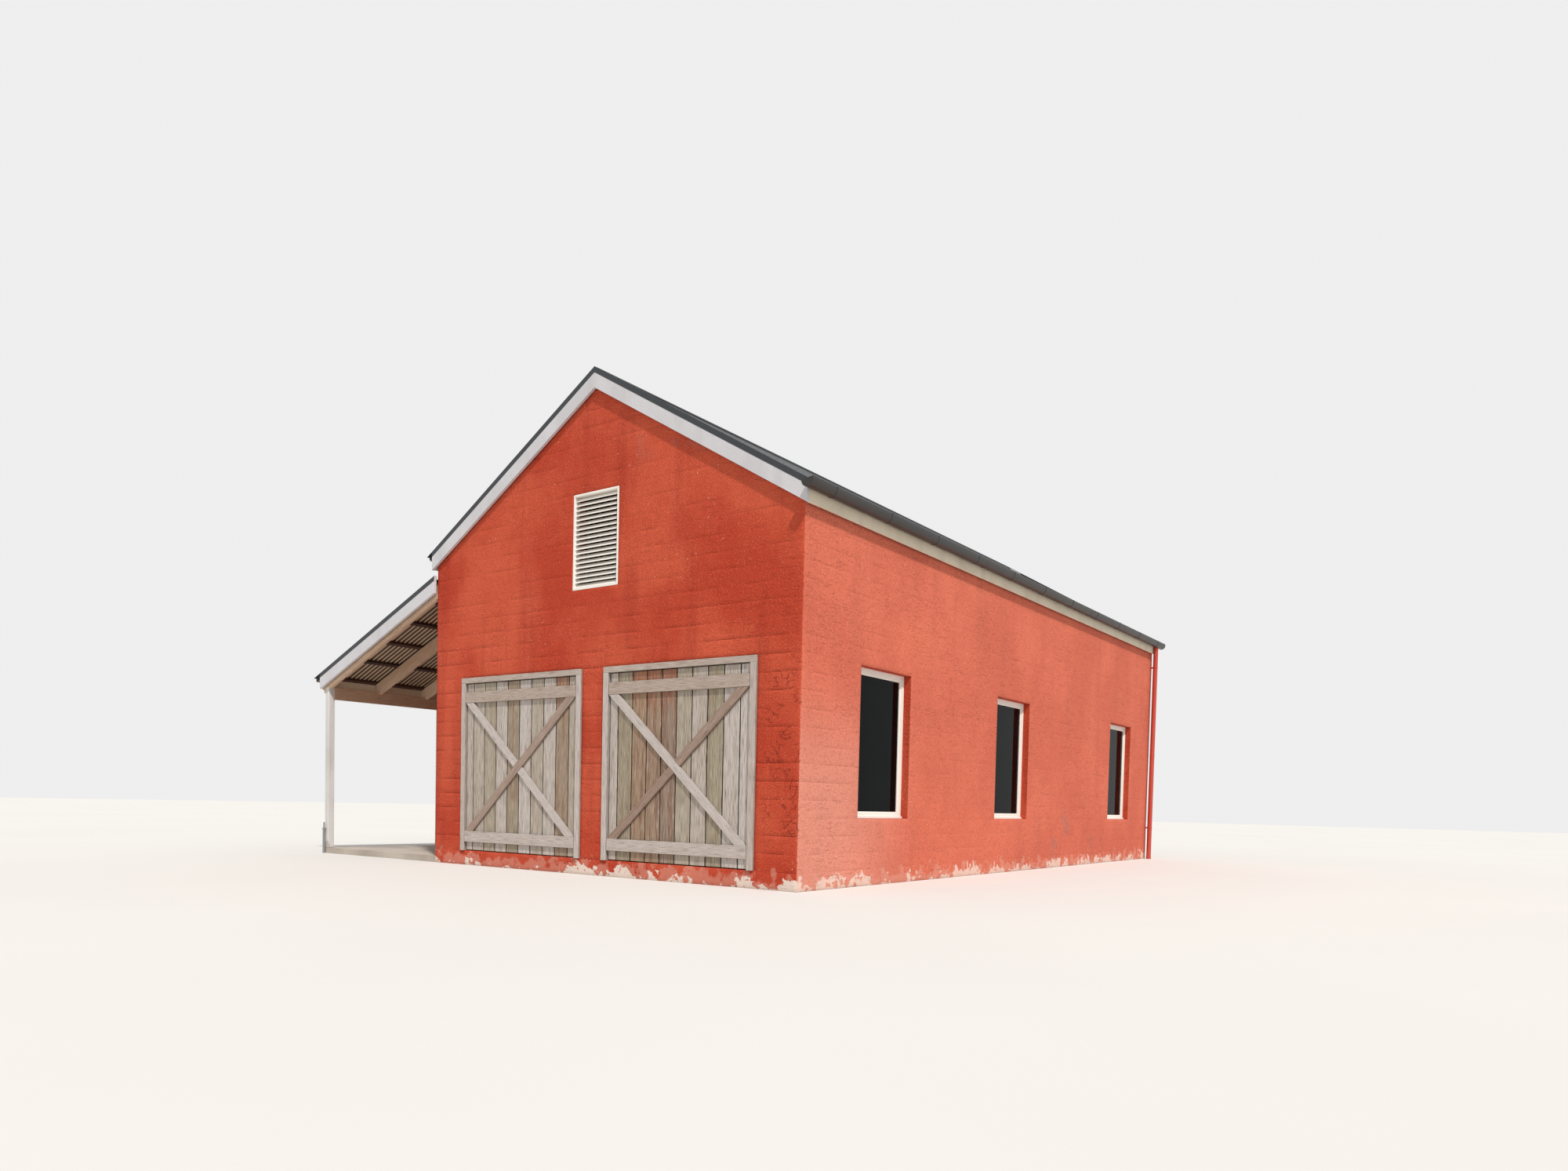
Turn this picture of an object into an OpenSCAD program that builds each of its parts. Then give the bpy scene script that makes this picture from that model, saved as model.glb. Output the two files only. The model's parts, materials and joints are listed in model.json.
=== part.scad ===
// A gabled barn of painted blockwork with a lean-to along its left side.
// The origin is the centre of the barn's footprint on the ground, +Z is up,
// the gable with the doors faces -Y and the lean-to stands on the -X side.

/* [Barn] */
// Width of the barn over its side walls
barn_w = 6400; // [6200:200:8000]
// Length of the barn over its gable walls
barn_l = 12400; // [11000:200:16000]
// Height of the side walls
eaves_h = 4200; // [3800:200:5000]
// Thickness of the block walls
wall_t = 190; // [140:10:300]
// Height of the floor above the ground
floor_h = 200; // [100:20:400]
// Slope of the barn roof in degrees
roof_pitch = 30; // [25:1:35]

/* [Doors] */
// Width of each doorway
door_w = 2400; // [2000:50:2500]
// Height of each doorway above the floor
door_h = 2400; // [2000:50:2600]
// Width of the wall between the two doorways
pier_w = 400; // [200:50:600]
// Face width of a door post
stile_w = 88; // [60:1:120]
// Depth of the door frame's head
head_w = 75; // [50:1:120]
// How far the door frame stands out from the wall
frame_proud = 30; // [0:1:60]
// Thickness of the boards of a leaf
board_t = 28; // [18:1:40]
// Number of boards in a leaf
boards = 10; // [6:1:14]
// Thickness of the rails nailed on the boards
rail_t = 32; // [20:1:45]
// Width of the rails of a leaf
rail_w = 148; // [100:1:200]
// Width of the crossed braces of a leaf
brace_w = 105; // [60:1:140]
// Distance from the head of the leaf down to the top rail
rail_head = 115; // [20:1:300]
// Height of the bottom rail above the foot of the leaf
rail_foot = 113; // [40:1:300]
// Gap under a leaf
door_foot_gap = 12; // [6:1:25]
// Gap along the hinge side and the head of a leaf
door_gap = 8; // [6:1:12]
// Gap along the free edge of a leaf
door_free_gap = 12; // [8:1:20]

/* [Windows] */
// Width of each window opening
win_w = 1200; // [800:50:1400]
// Height of each window opening
win_h = 1800; // [1000:50:2200]
// Height of the window openings above the ground
win_sill_h = 800; // [400:50:1400]
// Distance from each end of a side wall to its nearest window
win_end = 1200; // [600:50:1400]
// Distance from the front end of a side wall to its middle window
win_mid = 5000; // [4300:50:6500]
// Distance from the wall's outer face to the window frame
win_setback = 100; // [20:5:100]
// Face width of the window frames
win_frame_w = 56; // [30:1:80]

/* [Gable vents] */
// Width of the louvred vent in each gable
vent_w = 800; // [400:20:1000]
// Height of the louvred vent
vent_h = 1200; // [600:50:1300]
// Height of the vent's foot above the ground
vent_foot = 3600; // [3300:50:3800]
// Number of louvre blades
blades = 19; // [6:1:24]
// Slope of the blades in degrees
blade_tilt = 45; // [30:1:55]

/* [Roof] */
// Depth of the barn's rafters
rafter_d = 140; // [90:5:190]
// Thickness of every rafter
rafter_t = 45; // [35:1:60]
// Largest distance between the rafters
rafter_step = 1200; // [600:50:1500]
// Thickness of the roof battens
batten_t = 40; // [25:1:50]
// Width of the roof battens
batten_w = 70; // [45:1:90]
// Pitch of the corrugations of the roof sheets
corrugation = 76; // [70:1:150]
// Depth of the corrugations
corr_d = 17; // [12:1:30]
// Thickness of the barge boards
barge_t = 40; // [20:1:50]
// Gap between the gable wall and the barge boards
barge_gap = 25; // [10:1:60]
// Height of the barge boards above the crests of the roof sheets
barge_up = 25; // [5:1:40]
// Width of the metal lip on the face of the barge boards
barge_lip = 62; // [20:1:100]
// Distance from the side wall to the outer face of the fascia
eave_out = 60; // [40:5:200]
// Distance that the sheets reach past the fascia over the gutter
gutter_lap = 70; // [30:5:90]
// Distance that the sheets reach past a fascia with no gutter
free_lap = 110; // [30:5:150]
// Inside radius of the gutter
gutter_r = 74; // [50:1:80]
// Outside radius of the downpipe
downpipe_r = 45; // [30:1:50]

/* [Lean-to] */
// Distance from the barn wall to the outer face of the posts
lean_w = 2900; // [2200:50:3600]
// Slope of the lean-to roof in degrees
lean_pitch = 22.5; // [15:0.5:24]
// Distance from the eaves down to the lean-to rafters at the barn wall
lean_drop = 430; // [380:10:600]
// Width of the square posts
post_w = 100; // [80:5:150]
// Number of posts
posts = 7; // [4:1:9]
// Depth of the eave beam
beam_d = 200; // [140:5:240]
// Depth of the lean-to rafters
lean_rafter_d = 190; // [140:5:220]
// Largest distance between the lean-to rafters
lean_rafter_step = 900; // [600:50:1200]
// Height of the lean-to slab above the ground
lean_slab_h = 85; // [50:5:150]
// Distance from the posts' outer face to the outer face of the fascia
lean_out = 60; // [40:5:150]
// Distance that the sheets reach past the fascia
lean_lap = 170; // [50:10:260]
// Height of the lean-to's barge boards above the crests of its sheets
lean_barge_up = 40; // [5:1:45]

/* [Hidden] */

// Half sizes of the barn and the room inside it
half_w = barn_w / 2;
half_l = barn_l / 2;
in_w = half_w - wall_t;
in_l = half_l - wall_t;
// Clearance between thin pieces that lie on each other
seat = 0.3;
// How far a cutting body runs past the surface that it cuts
past = 5;

// Roof layers, measured square to the slope from the rafters' underside
apex_h = eaves_h + half_w * tan(roof_pitch);
sheet_z = rafter_d + batten_t;
crest_z = sheet_z + corr_d;
barge_d = crest_z + barge_up;
barge_out = barge_gap + barge_t;
fascia_t = 25;
fascia_x = half_w + eave_out;
fascia_drop = 27;
plate_w = 100;
plate_t = 45;
ridge_t = 35;
ridge_d = 190;
// Plumb height of the rafters and the gables, a seat below the battens
rise = (rafter_d - seat) / cos(roof_pitch);
lean_rise = (lean_rafter_d - seat) / cos(lean_pitch);

// Doors
door_top = floor_h + door_h;
frame_t = board_t + rail_t;
frame_front = -half_l - frame_proud;
leaf_w = door_w - 2 * stile_w - door_gap - door_free_gap;
leaf_h = door_h - head_w - door_foot_gap - door_gap;
leaf_z = floor_h + door_foot_gap;
hinge_pin_out = 9;
hinge_x = pier_w / 2 + door_w - stile_w - door_gap / 2;
hinge_y = frame_front + frame_t + hinge_pin_out;
hinge_h = 120;

// Windows
win_frame_t = 60;
win_frame_x = half_w - win_setback - win_frame_t;
win_ys = [
    -half_l + win_end + win_w / 2,
    -half_l + win_mid + win_w / 2,
    half_l - win_end - win_w / 2
];

// Lean-to, from the underside of its rafters at the barn wall
lean_h = eaves_h - lean_drop;
lean_slope_w = lean_w + lean_out;
beam_top = lean_h - (lean_w - post_w) * tan(lean_pitch) + 40;
lean_sheet_z = lean_rafter_d + batten_t;
lean_crest_z = lean_sheet_z + corr_d;
lean_barge_z = lean_crest_z + lean_barge_up - barge_d;

// Sets its child on the right slope of the barn: X runs down the slope from
// the ridge and Z points out of the roof, from the underside of the rafters.
module on_slope() {
    translate([0, 0, apex_h]) rotate([0, roof_pitch, 0]) children();
}

// The same for both slopes of the barn
module on_both_slopes() {
    on_slope() children();
    mirror([1, 0, 0]) on_slope() children();
}

// Sets its child on the slope of the lean-to, with X from the barn wall down
module on_lean_slope() {
    mirror([1, 0, 0]) translate([half_w, 0, lean_h]) rotate([0, lean_pitch, 0]) children();
}

// An outline in X and Z, drawn out along Y from y0 to y1
module along_y(y0, y1) {
    translate([0, y1, 0]) rotate([90, 0, 0]) linear_extrude(y1 - y0) children();
}

// A box from its low corner to its high corner
module box(low, high) {
    translate(low) cube(high - low);
}

// Its child at the front gable, and turned round at the rear gable
module at_both_gables() {
    children();
    mirror([0, 1, 0]) children();
}

// A zigzag sheet, width w along X and length l along Z, standing on Y = 0
module corrugated(w, l) {
    n = round(w / corrugation);
    p = w / n;
    t = 1.5;
    low = [for (i = [0 : n]) each [[i * p, 0], if (i < n) [(i + 0.5) * p, corr_d - t]]];
    high = [for (i = [len(low) - 1 : -1 : 0]) low[i] + [0, t]];
    linear_extrude(l) polygon(concat(low, high));
}

// A roof sheet on a slope: from x0 to x1 down the slope, and from -y to y
module slope_sheet(x0, x1, y, z) {
    translate([x0, -y, z]) rotate([90, 0, 90]) corrugated(2 * y, x1 - x0);
}

// The floor inside the walls
module floor_slab() {
    color("lightgray") box([-in_w, -in_l, 0], [in_w, in_l, floor_h]);
}

// A piece of the front wall below the door heads
module pier(x0, x1) {
    color("tomato") box([x0, -half_l, 0], [x1, -in_l, door_top]);
}

module front_left_pier() {
    pier(-half_w, -pier_w / 2 - door_w);
}

module front_middle_pier() {
    pier(-pier_w / 2, pier_w / 2);
}

module front_right_pier() {
    pier(pier_w / 2 + door_w, half_w);
}

// The low ledge of wall under each doorway
module front_plinth() {
    color("tomato")
    for (s = [-1, 1])
        translate([s * (pier_w + door_w) / 2, (-half_l - in_l) / 2, floor_h / 2])
            cube([door_w, wall_t, floor_h], center = true);
}

// The outline of a gable from height z0 up to the underside of the battens
module gable_outline(z0) {
    polygon([
        [-half_w, z0], [half_w, z0], [half_w, eaves_h + rise],
        [0, apex_h + rise], [-half_w, eaves_h + rise]
    ]);
}

// A gable wall at the front, from height z0, with the opening for its vent
module gable_wall(z0) {
    color("tomato")
    difference() {
        along_y(-half_l, -in_l) gable_outline(z0);
        box([-vent_w / 2, -half_l - past, vent_foot], [vent_w / 2, -in_l + past, vent_foot + vent_h]);
    }
}

module front_gable() {
    gable_wall(door_top);
}

module rear_wall() {
    mirror([0, 1, 0]) gable_wall(0);
}

// A side wall with its row of window openings
module side_wall() {
    color("tomato")
    difference() {
        box([in_w, -in_l, 0], [half_w, in_l, eaves_h]);
        for (y = win_ys)
            box([in_w - past, y - win_w / 2, win_sill_h],
                [half_w + past, y + win_w / 2, win_sill_h + win_h]);
    }
}

module right_wall() {
    side_wall();
}

module left_wall() {
    mirror([1, 0, 0]) side_wall();
}

// Louvre vents
vent_rim = 28;
vent_t = 90;
vent_y = -half_l - 8;
blade_l = vent_w - 2 * vent_rim;
blade_w = 78;
blade_t = 9;
// Half the height that a tilted blade takes up, and the step between blades
blade_rise = (blade_w * sin(blade_tilt) + blade_t * cos(blade_tilt)) / 2 + 1;
blade_step = (vent_h - 2 * vent_rim - 2 * blade_rise) / (blades - 1);

module vent_frames() {
    color("white")
    at_both_gables()
        difference() {
            box([-vent_w / 2, vent_y, vent_foot], [vent_w / 2, vent_y + vent_t, vent_foot + vent_h]);
            box([-vent_w / 2 + vent_rim, vent_y - past, vent_foot + vent_rim],
                [vent_w / 2 - vent_rim, vent_y + vent_t + past, vent_foot + vent_h - vent_rim]);
        }
}

// Blades that slope down and outwards, their ends seated in the frame's sides
module vent_blades() {
    color("white")
    at_both_gables()
        for (i = [0 : blades - 1])
            translate([0, vent_y + vent_t / 2, vent_foot + vent_rim + blade_rise + i * blade_step])
                rotate([blade_tilt, 0, 0])
                    cube([blade_l, blade_w, blade_t], center = true);
}

// Its child at each window of both side walls: X outwards from the frame's
// inner face, Y along the wall from the window's centre, Z up from its sill
module at_windows() {
    for (side = [0, 1])
        mirror([side, 0, 0])
            for (y = win_ys)
                translate([win_frame_x, y, win_sill_h]) children();
}

// A rectangular frame in the plane of the wall, from x0 to x1
module ring_frame(x0, x1, y0, y1, z0, z1, face) {
    difference() {
        box([x0, y0, z0], [x1, y1, z1]);
        box([x0 - past, y0 + face, z0 + face], [x1 + past, y1 - face, z1 - face]);
    }
}

sash_w = 28;
sash_t = 34;
sash_x = 12;
glass_t = 6;
glass_x = 24;
sill_lip = 22;

// Window frames with a lip along the sill
module window_frames() {
    color("white")
    at_windows() {
        ring_frame(0, win_frame_t, -win_w / 2, win_w / 2, 0, win_h, win_frame_w);
        box([win_frame_t, -win_w / 2, 0], [win_frame_t + sill_lip, win_w / 2, win_frame_w / 2]);
    }
}

// One fixed sash in each frame, set back from the frame's face
module window_sashes() {
    inner = win_w / 2 - win_frame_w;
    top = win_h - win_frame_w;
    color("white")
    at_windows() ring_frame(sash_x, sash_x + sash_t, -inner, inner, win_frame_w, top, sash_w);
}

// The panes inside the sashes
module window_glass() {
    inner = win_w / 2 - win_frame_w - sash_w;
    low = win_frame_w + sash_w;
    color("slategray")
    at_windows() box([glass_x, -inner, low], [glass_x + glass_t, inner, win_h - low]);
}

// Its child at the left doorway's place, and at the right one mirrored:
// X from the barn's middle outwards, as on the right-hand side
module at_door(side) {
    mirror([side < 0 ? 1 : 0, 0, 0]) children();
}

// Door frames: two posts down to the plinth and a head between the walls
module door_frames() {
    x0 = pier_w / 2;
    x1 = x0 + door_w;
    y1 = frame_front + frame_t;
    color("tan")
    for (side = [-1, 1])
        at_door(side)
            difference() {
                box([x0, frame_front, floor_h], [x1, y1, door_top]);
                box([x0 + stile_w, frame_front - past, floor_h - past],
                    [x1 - stile_w, y1 + past, door_top - head_w]);
            }
}

// Places along the leaf: its hinge edge is the outer one
leaf_x1 = hinge_x - door_gap / 2;
leaf_x0 = leaf_x1 - leaf_w;
board_front = frame_front + rail_t;
rail_z0 = leaf_z + rail_foot;
rail_z1 = leaf_z + leaf_h - rail_head - rail_w;
brace_t = 28;

// The boards of a leaf as one panel, with a groove at each joint
module leaf_boards() {
    step = leaf_w / boards;
    groove = 6;
    color("tan")
    difference() {
        box([leaf_x0, board_front, leaf_z], [leaf_x1, board_front + board_t, leaf_z + leaf_h]);
        for (i = [1 : boards - 1])
            for (y = [board_front, board_front + board_t])
                translate([leaf_x0 + i * step, y, leaf_z - past])
                    rotate([0, 0, 45])
                        translate([-groove / 2, -groove / 2, 0])
                            cube([groove, groove, leaf_h + 2 * past]);
    }
}

// The head rail and the foot rail of a leaf
module leaf_rails() {
    color("tan")
    for (z = [rail_z0, rail_z1])
        box([leaf_x0, frame_front, z], [leaf_x1, board_front, z + rail_w]);
}

// The crossed braces between the rails: one runs through from the head of the
// free edge to the foot of the hinge edge, the other is in two halves beside it
module brace_strip(xa, xb, z0, z1, grow) {
    run = brace_w * sqrt(leaf_w * leaf_w + (z1 - z0) * (z1 - z0)) / (z1 - z0);
    s = xb > xa ? 1 : -1;
    polygon([
        [xa - s * grow, z0], [xa + s * (run + grow), z0],
        [xb + s * grow, z1], [xb - s * (run + grow), z1]
    ]);
}

module leaf_braces() {
    z0 = rail_z0 + rail_w;
    z1 = rail_z1;
    joint = 1;
    color("tan")
    along_y(frame_front + rail_t - brace_t, board_front) {
        brace_strip(leaf_x1, leaf_x0, z0, z1, 0);
        difference() {
            brace_strip(leaf_x0, leaf_x1, z0, z1, 0);
            brace_strip(leaf_x1, leaf_x0, z0, z1, joint);
        }
    }
}

// Butt hinges on the inner face, one at each rail
knuckle_r = 8;
pin_r = 4;
pin_clear = 0.05;
plate_w2 = 52;
plate_t2 = 3;
hinge_zs = [rail_z0 + rail_w / 2, rail_z1 + rail_w / 2];

// A hinge plate with its knuckles from z0 to z1, reaching towards sx
module hinge_half(sx, spans) {
    y1 = -hinge_pin_out;
    translate([sx > 0 ? 12 : -12 - plate_w2, y1, -hinge_h / 2])
        cube([plate_w2, plate_t2, hinge_h]);
    for (s = spans)
        translate([0, 0, s[0]]) {
            cylinder(h = s[1] - s[0], r = knuckle_r, $fn = 32);
            translate([sx > 0 ? 0 : -13, y1, 0]) cube([13, plate_t2, s[1] - s[0]]);
        }
}

// The half of each hinge that is screwed to the frame, with its pin
module frame_hinges() {
    third = hinge_h / 6;
    color("dimgray")
    for (side = [-1, 1])
        at_door(side)
            for (z = hinge_zs)
                translate([hinge_x, hinge_y, z]) {
                    hinge_half(1, [[-hinge_h / 2, -third - 0.5], [third + 0.5, hinge_h / 2]]);
                    cylinder(h = hinge_h, r = pin_r, center = true, $fn = 32);
                }
}

// The half of each hinge that turns with the leaf
module leaf_hinges() {
    third = hinge_h / 6;
    color("dimgray")
    for (z = hinge_zs)
        translate([hinge_x, hinge_y, z])
            difference() {
                hinge_half(-1, [[-third, third]]);
                cylinder(h = hinge_h + 2 * past, r = pin_r + pin_clear, center = true, $fn = 32);
            }
}

module left_door_boards() {
    at_door(-1) leaf_boards();
}

module left_door_rails() {
    at_door(-1) leaf_rails();
}

module left_door_braces() {
    at_door(-1) leaf_braces();
}

module left_door_hinges() {
    at_door(-1) leaf_hinges();
}

module right_door_boards() {
    at_door(1) leaf_boards();
}

module right_door_rails() {
    at_door(1) leaf_rails();
}

module right_door_braces() {
    at_door(1) leaf_braces();
}

module right_door_hinges() {
    at_door(1) leaf_hinges();
}

// Plates along the tops of the side walls
plate_x = half_w - wall_t / 2;

module wall_plates() {
    color("burlywood")
    for (s = [-1, 1])
        translate([s * plate_x, 0, eaves_h + plate_t / 2])
            cube([plate_w, 2 * in_l, plate_t], center = true);
}

// Pairs of rafters, notched over the plates and cut plumb at both ends
module rafters() {
    slope = tan(roof_pitch);
    tail_x = fascia_x - fascia_t;
    plate_out = plate_x + plate_w / 2;
    plate_top = eaves_h + plate_t;
    seat_x = half_w - plate_t / slope;
    n = ceil((2 * in_l - rafter_t) / rafter_step);
    step = (2 * in_l - rafter_t) / n;
    color("burlywood")
    for (i = [0 : n], side = [0, 1])
        mirror([side, 0, 0])
            along_y(-in_l + i * step, -in_l + i * step + rafter_t)
                difference() {
                    polygon([
                        [ridge_t / 2, apex_h - ridge_t / 2 * slope],
                        [tail_x, apex_h - tail_x * slope],
                        [tail_x, apex_h - tail_x * slope + rise],
                        [ridge_t / 2, apex_h - ridge_t / 2 * slope + rise]
                    ]);
                    translate([seat_x - past, eaves_h - rise])
                        square([plate_out - seat_x + past, plate_top - eaves_h + rise]);
                }
}

// The board that the rafters meet at the ridge
module ridge_beam() {
    top = apex_h + rise - ridge_t / 2 * tan(roof_pitch);
    color("burlywood")
    box([-ridge_t / 2, -in_l, top - ridge_d], [ridge_t / 2, in_l, top]);
}

// Distance down the slope at which a point at sheet level is x from the middle
function slope_at(x) = (x - sheet_z * sin(roof_pitch)) / cos(roof_pitch);

// Battens along both slopes, from barge board to barge board
module roof_battens() {
    n = 5;
    y = half_l + barge_gap - seat;
    first = 90;
    step = (slope_at(fascia_x - fascia_t) - seat - batten_w / 2 - first) / (n - 1);
    color("burlywood")
    on_both_slopes()
        for (i = [0 : n - 1])
            translate([first + i * step, 0, rafter_d + batten_t / 2])
                cube([batten_w, 2 * y, batten_t], center = true);
}

// The sheets start below the ridge, end at the inner faces of the barge boards
// and reach past the fascias
sheet_ridge_gap = 60;
sheet_y = half_l + barge_gap - seat;

module right_roof_sheet() {
    color("dimgray")
    on_slope() slope_sheet(sheet_ridge_gap, slope_at(fascia_x + gutter_lap), sheet_y, sheet_z);
}

module left_roof_sheet() {
    color("dimgray")
    mirror([1, 0, 0])
        on_slope()
            slope_sheet(sheet_ridge_gap, slope_at(fascia_x + free_lap), sheet_y, sheet_z);
}

// The ridge capping: two wings over the crests with a round roll between them
cap_t = 1.5;
cap_wing = 190;
cap_lap = 70;

module ridge_cap() {
    roll = 24;
    roll_lift = 6;
    z = crest_z + seat;
    y = sheet_y - cap_t - seat;
    top = apex_h + z / cos(roof_pitch) + roll_lift;
    color("dimgray") {
        difference() {
            union() {
                on_both_slopes()
                    box([-z * tan(roof_pitch), -y, z], [cap_wing, y, z + cap_t]);
                translate([0, 0, top]) rotate([90, 0, 0])
                    cylinder(h = 2 * y, r = roll, center = true, $fn = 32);
            }
            translate([0, 0, top]) rotate([90, 0, 0])
                cylinder(h = 2 * y + 2 * past, r = roll - cap_t, center = true, $fn = 32);
        }
    }
}

// A strip down a rake, in X and Z and plumb at both ends. It follows the line
// that falls at the pitch from the point head, and lies between the heights z0
// and z1 above that line, measured square to it.
module rake(head, pitch, x0, x1, z0, z1) {
    fall = tan(pitch);
    low = z0 / cos(pitch);
    high = z1 / cos(pitch);
    translate(head)
        polygon([
            [x0, low - x0 * fall],
            [x1, low - x1 * fall],
            [x1, high - x1 * fall],
            [x0, high - x0 * fall]
        ]);
}

barn_head = [0, apex_h];
lean_head = [half_w, lean_h];
barge_joint = 1;

// The barge boards: plumb at the ridge, or against the barn's corner, and plumb
// at the eave
module barge_boards() {
    y0 = -half_l - barge_out;
    y1 = -half_l - barge_gap;
    color("gainsboro")
    at_both_gables() {
        for (side = [0, 1])
            mirror([side, 0, 0])
                along_y(y0, y1) rake(barn_head, roof_pitch, barge_joint, fascia_x, 0, barge_d);
        mirror([1, 0, 0])
            along_y(y0, y1)
                rake(lean_head, lean_pitch, barge_joint, lean_slope_w,
                    lean_barge_z, lean_barge_z + barge_d);
    }
}

// Folded metal over one barge board: a lip down its face that ends at x_lip, a
// strip over its top, and from x_leg on a leg down its inner face with a lap over
// the crests of the sheet. The upright sides reach half way into the level ones.
module barge_cap(head, pitch, x_leg, x_lip, x_end, top, crest) {
    y_out = -half_l - barge_out - seat;
    y_in = -half_l - barge_gap + seat;
    low = crest + seat;
    high = top + seat;
    half = cap_t / 2;
    union() {
        along_y(y_out - cap_t, y_out)
            rake(head, pitch, barge_joint, x_lip, top - barge_lip, high + half);
        along_y(y_out - cap_t, y_in + cap_t)
            rake(head, pitch, barge_joint, x_end, high, high + cap_t);
        along_y(y_in, y_in + cap_t)
            rake(head, pitch, x_leg, x_end, low + half, high + half);
        along_y(y_in, y_in + cap_lap)
            rake(head, pitch, x_leg, x_end, low, low + cap_t);
    }
}

module barge_caps() {
    wing_x = cap_wing * cos(roof_pitch) + (crest_z + seat + cap_t) * sin(roof_pitch);
    x_leg = wing_x + 2;
    color("dimgray")
    at_both_gables() {
        barge_cap(barn_head, roof_pitch, x_leg, fascia_x, fascia_x + gutter_lap, barge_d, crest_z);
        mirror([1, 0, 0])
            barge_cap(barn_head, roof_pitch, x_leg, fascia_x, fascia_x + free_lap, barge_d, crest_z);
        mirror([1, 0, 0])
            barge_cap(lean_head, lean_pitch, barge_joint, lean_slope_w, lean_slope_w + lean_lap,
                lean_barge_z + barge_d, lean_crest_z);
    }
}

// The fascia boards along the eaves, tucked under the sheets
module fascias() {
    top = eaves_h - eave_out * tan(roof_pitch) + sheet_z / cos(roof_pitch) - 2;
    low = eaves_h - fascia_drop;
    y = half_l + barge_gap - seat;
    color("gainsboro") {
        for (s = [-1, 1])
            translate([s * (fascia_x - fascia_t / 2), 0, (top + low) / 2])
                cube([fascia_t, 2 * y, top - low], center = true);
        translate([-half_w - lean_w - lean_out + fascia_t / 2, 0, lean_fascia_z])
            cube([fascia_t, 2 * y, lean_fascia_d], center = true);
    }
}

// The gutter: half round, closed at both ends, with a low straight side at the
// back that stays under the sheet and a higher one at the front
gutter_t = 2;
gutter_side = 30;
gutter_back = 8;
gutter_x = fascia_x + seat + gutter_t + gutter_r;
back_x = fascia_x + seat + gutter_t - half_w;
gutter_rim = eaves_h - back_x * tan(roof_pitch) + sheet_z / cos(roof_pitch) - 3;
gutter_z = gutter_rim - gutter_back;
gutter_over = 180;
gutter_l = 2 * (half_l + gutter_over);

// The gutter's section, grown by d
module gutter_section(d) {
    r = gutter_r + d;
    intersection() {
        union() {
            circle(r, $fn = 48);
            translate([-r, 0]) square([2 * r, gutter_side]);
        }
        translate([-r, -r]) square([2 * r, r + gutter_side]);
    }
}

downpipe_x = fascia_x + downpipe_r + 2;
downpipe_y = half_l - 100;
downpipe_t = 2;
downpipe_top = gutter_z - gutter_r + 22;

module gutter() {
    color("dimgray")
    difference() {
        translate([gutter_x, 0, gutter_z])
            along_y(-gutter_l / 2, gutter_l / 2) gutter_section(gutter_t);
        translate([gutter_x, 0, gutter_z])
            along_y(-gutter_l / 2 + gutter_t, gutter_l / 2 - gutter_t) {
                gutter_section(0);
                translate([-gutter_r, 0]) square([2 * gutter_r, gutter_side + past]);
            }
        box([fascia_x - past, -gutter_l, gutter_rim], [gutter_x, gutter_l, gutter_rim + gutter_side]);
        translate([downpipe_x, downpipe_y, gutter_z - 2 * gutter_r])
            cylinder(h = downpipe_top + seat - gutter_z + 2 * gutter_r, r = downpipe_r + seat, $fn = 48);
    }
}

// Straps round the gutter, screwed to the fascia
module gutter_brackets() {
    n = 11;
    strap_w = 25;
    strap_t = 3;
    first = half_l - 300;
    color("dimgray")
    for (i = [0 : n - 1])
        translate([gutter_x, -first + i * 2 * first / (n - 1), gutter_z])
            along_y(-strap_w / 2, strap_w / 2)
                difference() {
                    gutter_section(gutter_t + seat + strap_t);
                    gutter_section(gutter_t + seat);
                    translate([-gutter_r - gutter_t - seat - strap_t, -gutter_r])
                        square([strap_t + past, 2 * gutter_r + gutter_side]);
                    translate([-gutter_r, 0]) square([2 * gutter_r, gutter_side + past]);
                }
}

// The downpipe from the gutter to the ground
module downpipe() {
    color("tomato")
    translate([downpipe_x, downpipe_y, 0])
        difference() {
            cylinder(h = downpipe_top, r = downpipe_r, $fn = 48);
            translate([0, 0, -past])
                cylinder(h = downpipe_top + 2 * past, r = downpipe_r - downpipe_t, $fn = 48);
        }
}

// Bands round the downpipe, each with a stand-off to the wall
module downpipe_clips() {
    band_w = 30;
    band_t = 3;
    r = downpipe_r + seat + band_t;
    color("tomato")
    for (z = [620, eaves_h - 330])
        translate([0, downpipe_y, z])
            difference() {
                union() {
                    translate([downpipe_x, 0, 0]) cylinder(h = band_w, r = r, $fn = 48);
                    translate([half_w, -12, 0]) cube([downpipe_x - half_w, 24, band_w]);
                }
                translate([downpipe_x, 0, -past])
                    cylinder(h = band_w + 2 * past, r = downpipe_r + seat, $fn = 48);
            }
}

// Lean-to sizes that several pieces share
lean_x1 = (lean_slope_w + lean_lap - lean_sheet_z * sin(lean_pitch)) / cos(lean_pitch);
lean_x0 = -lean_sheet_z * tan(lean_pitch) + 25;
lean_tail = lean_w + lean_out - fascia_t;
lean_fascia_top = lean_h - lean_slope_w * tan(lean_pitch) + lean_sheet_z / cos(lean_pitch) - 2;
lean_fascia_d = 190;
lean_fascia_z = lean_fascia_top - lean_fascia_d / 2;
post_out = half_w + lean_w;
post_span = barn_l - post_w;

module lean_to_slab() {
    color("lightgray")
    box([-post_out, -half_l, 0], [-half_w, half_l, lean_slab_h]);
}

module lean_to_posts() {
    color("wheat")
    for (i = [0 : posts - 1])
        translate([-post_out, -half_l + i * post_span / (posts - 1), lean_slab_h])
            cube([post_w, post_w, beam_top - lean_slab_h]);
}

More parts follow.
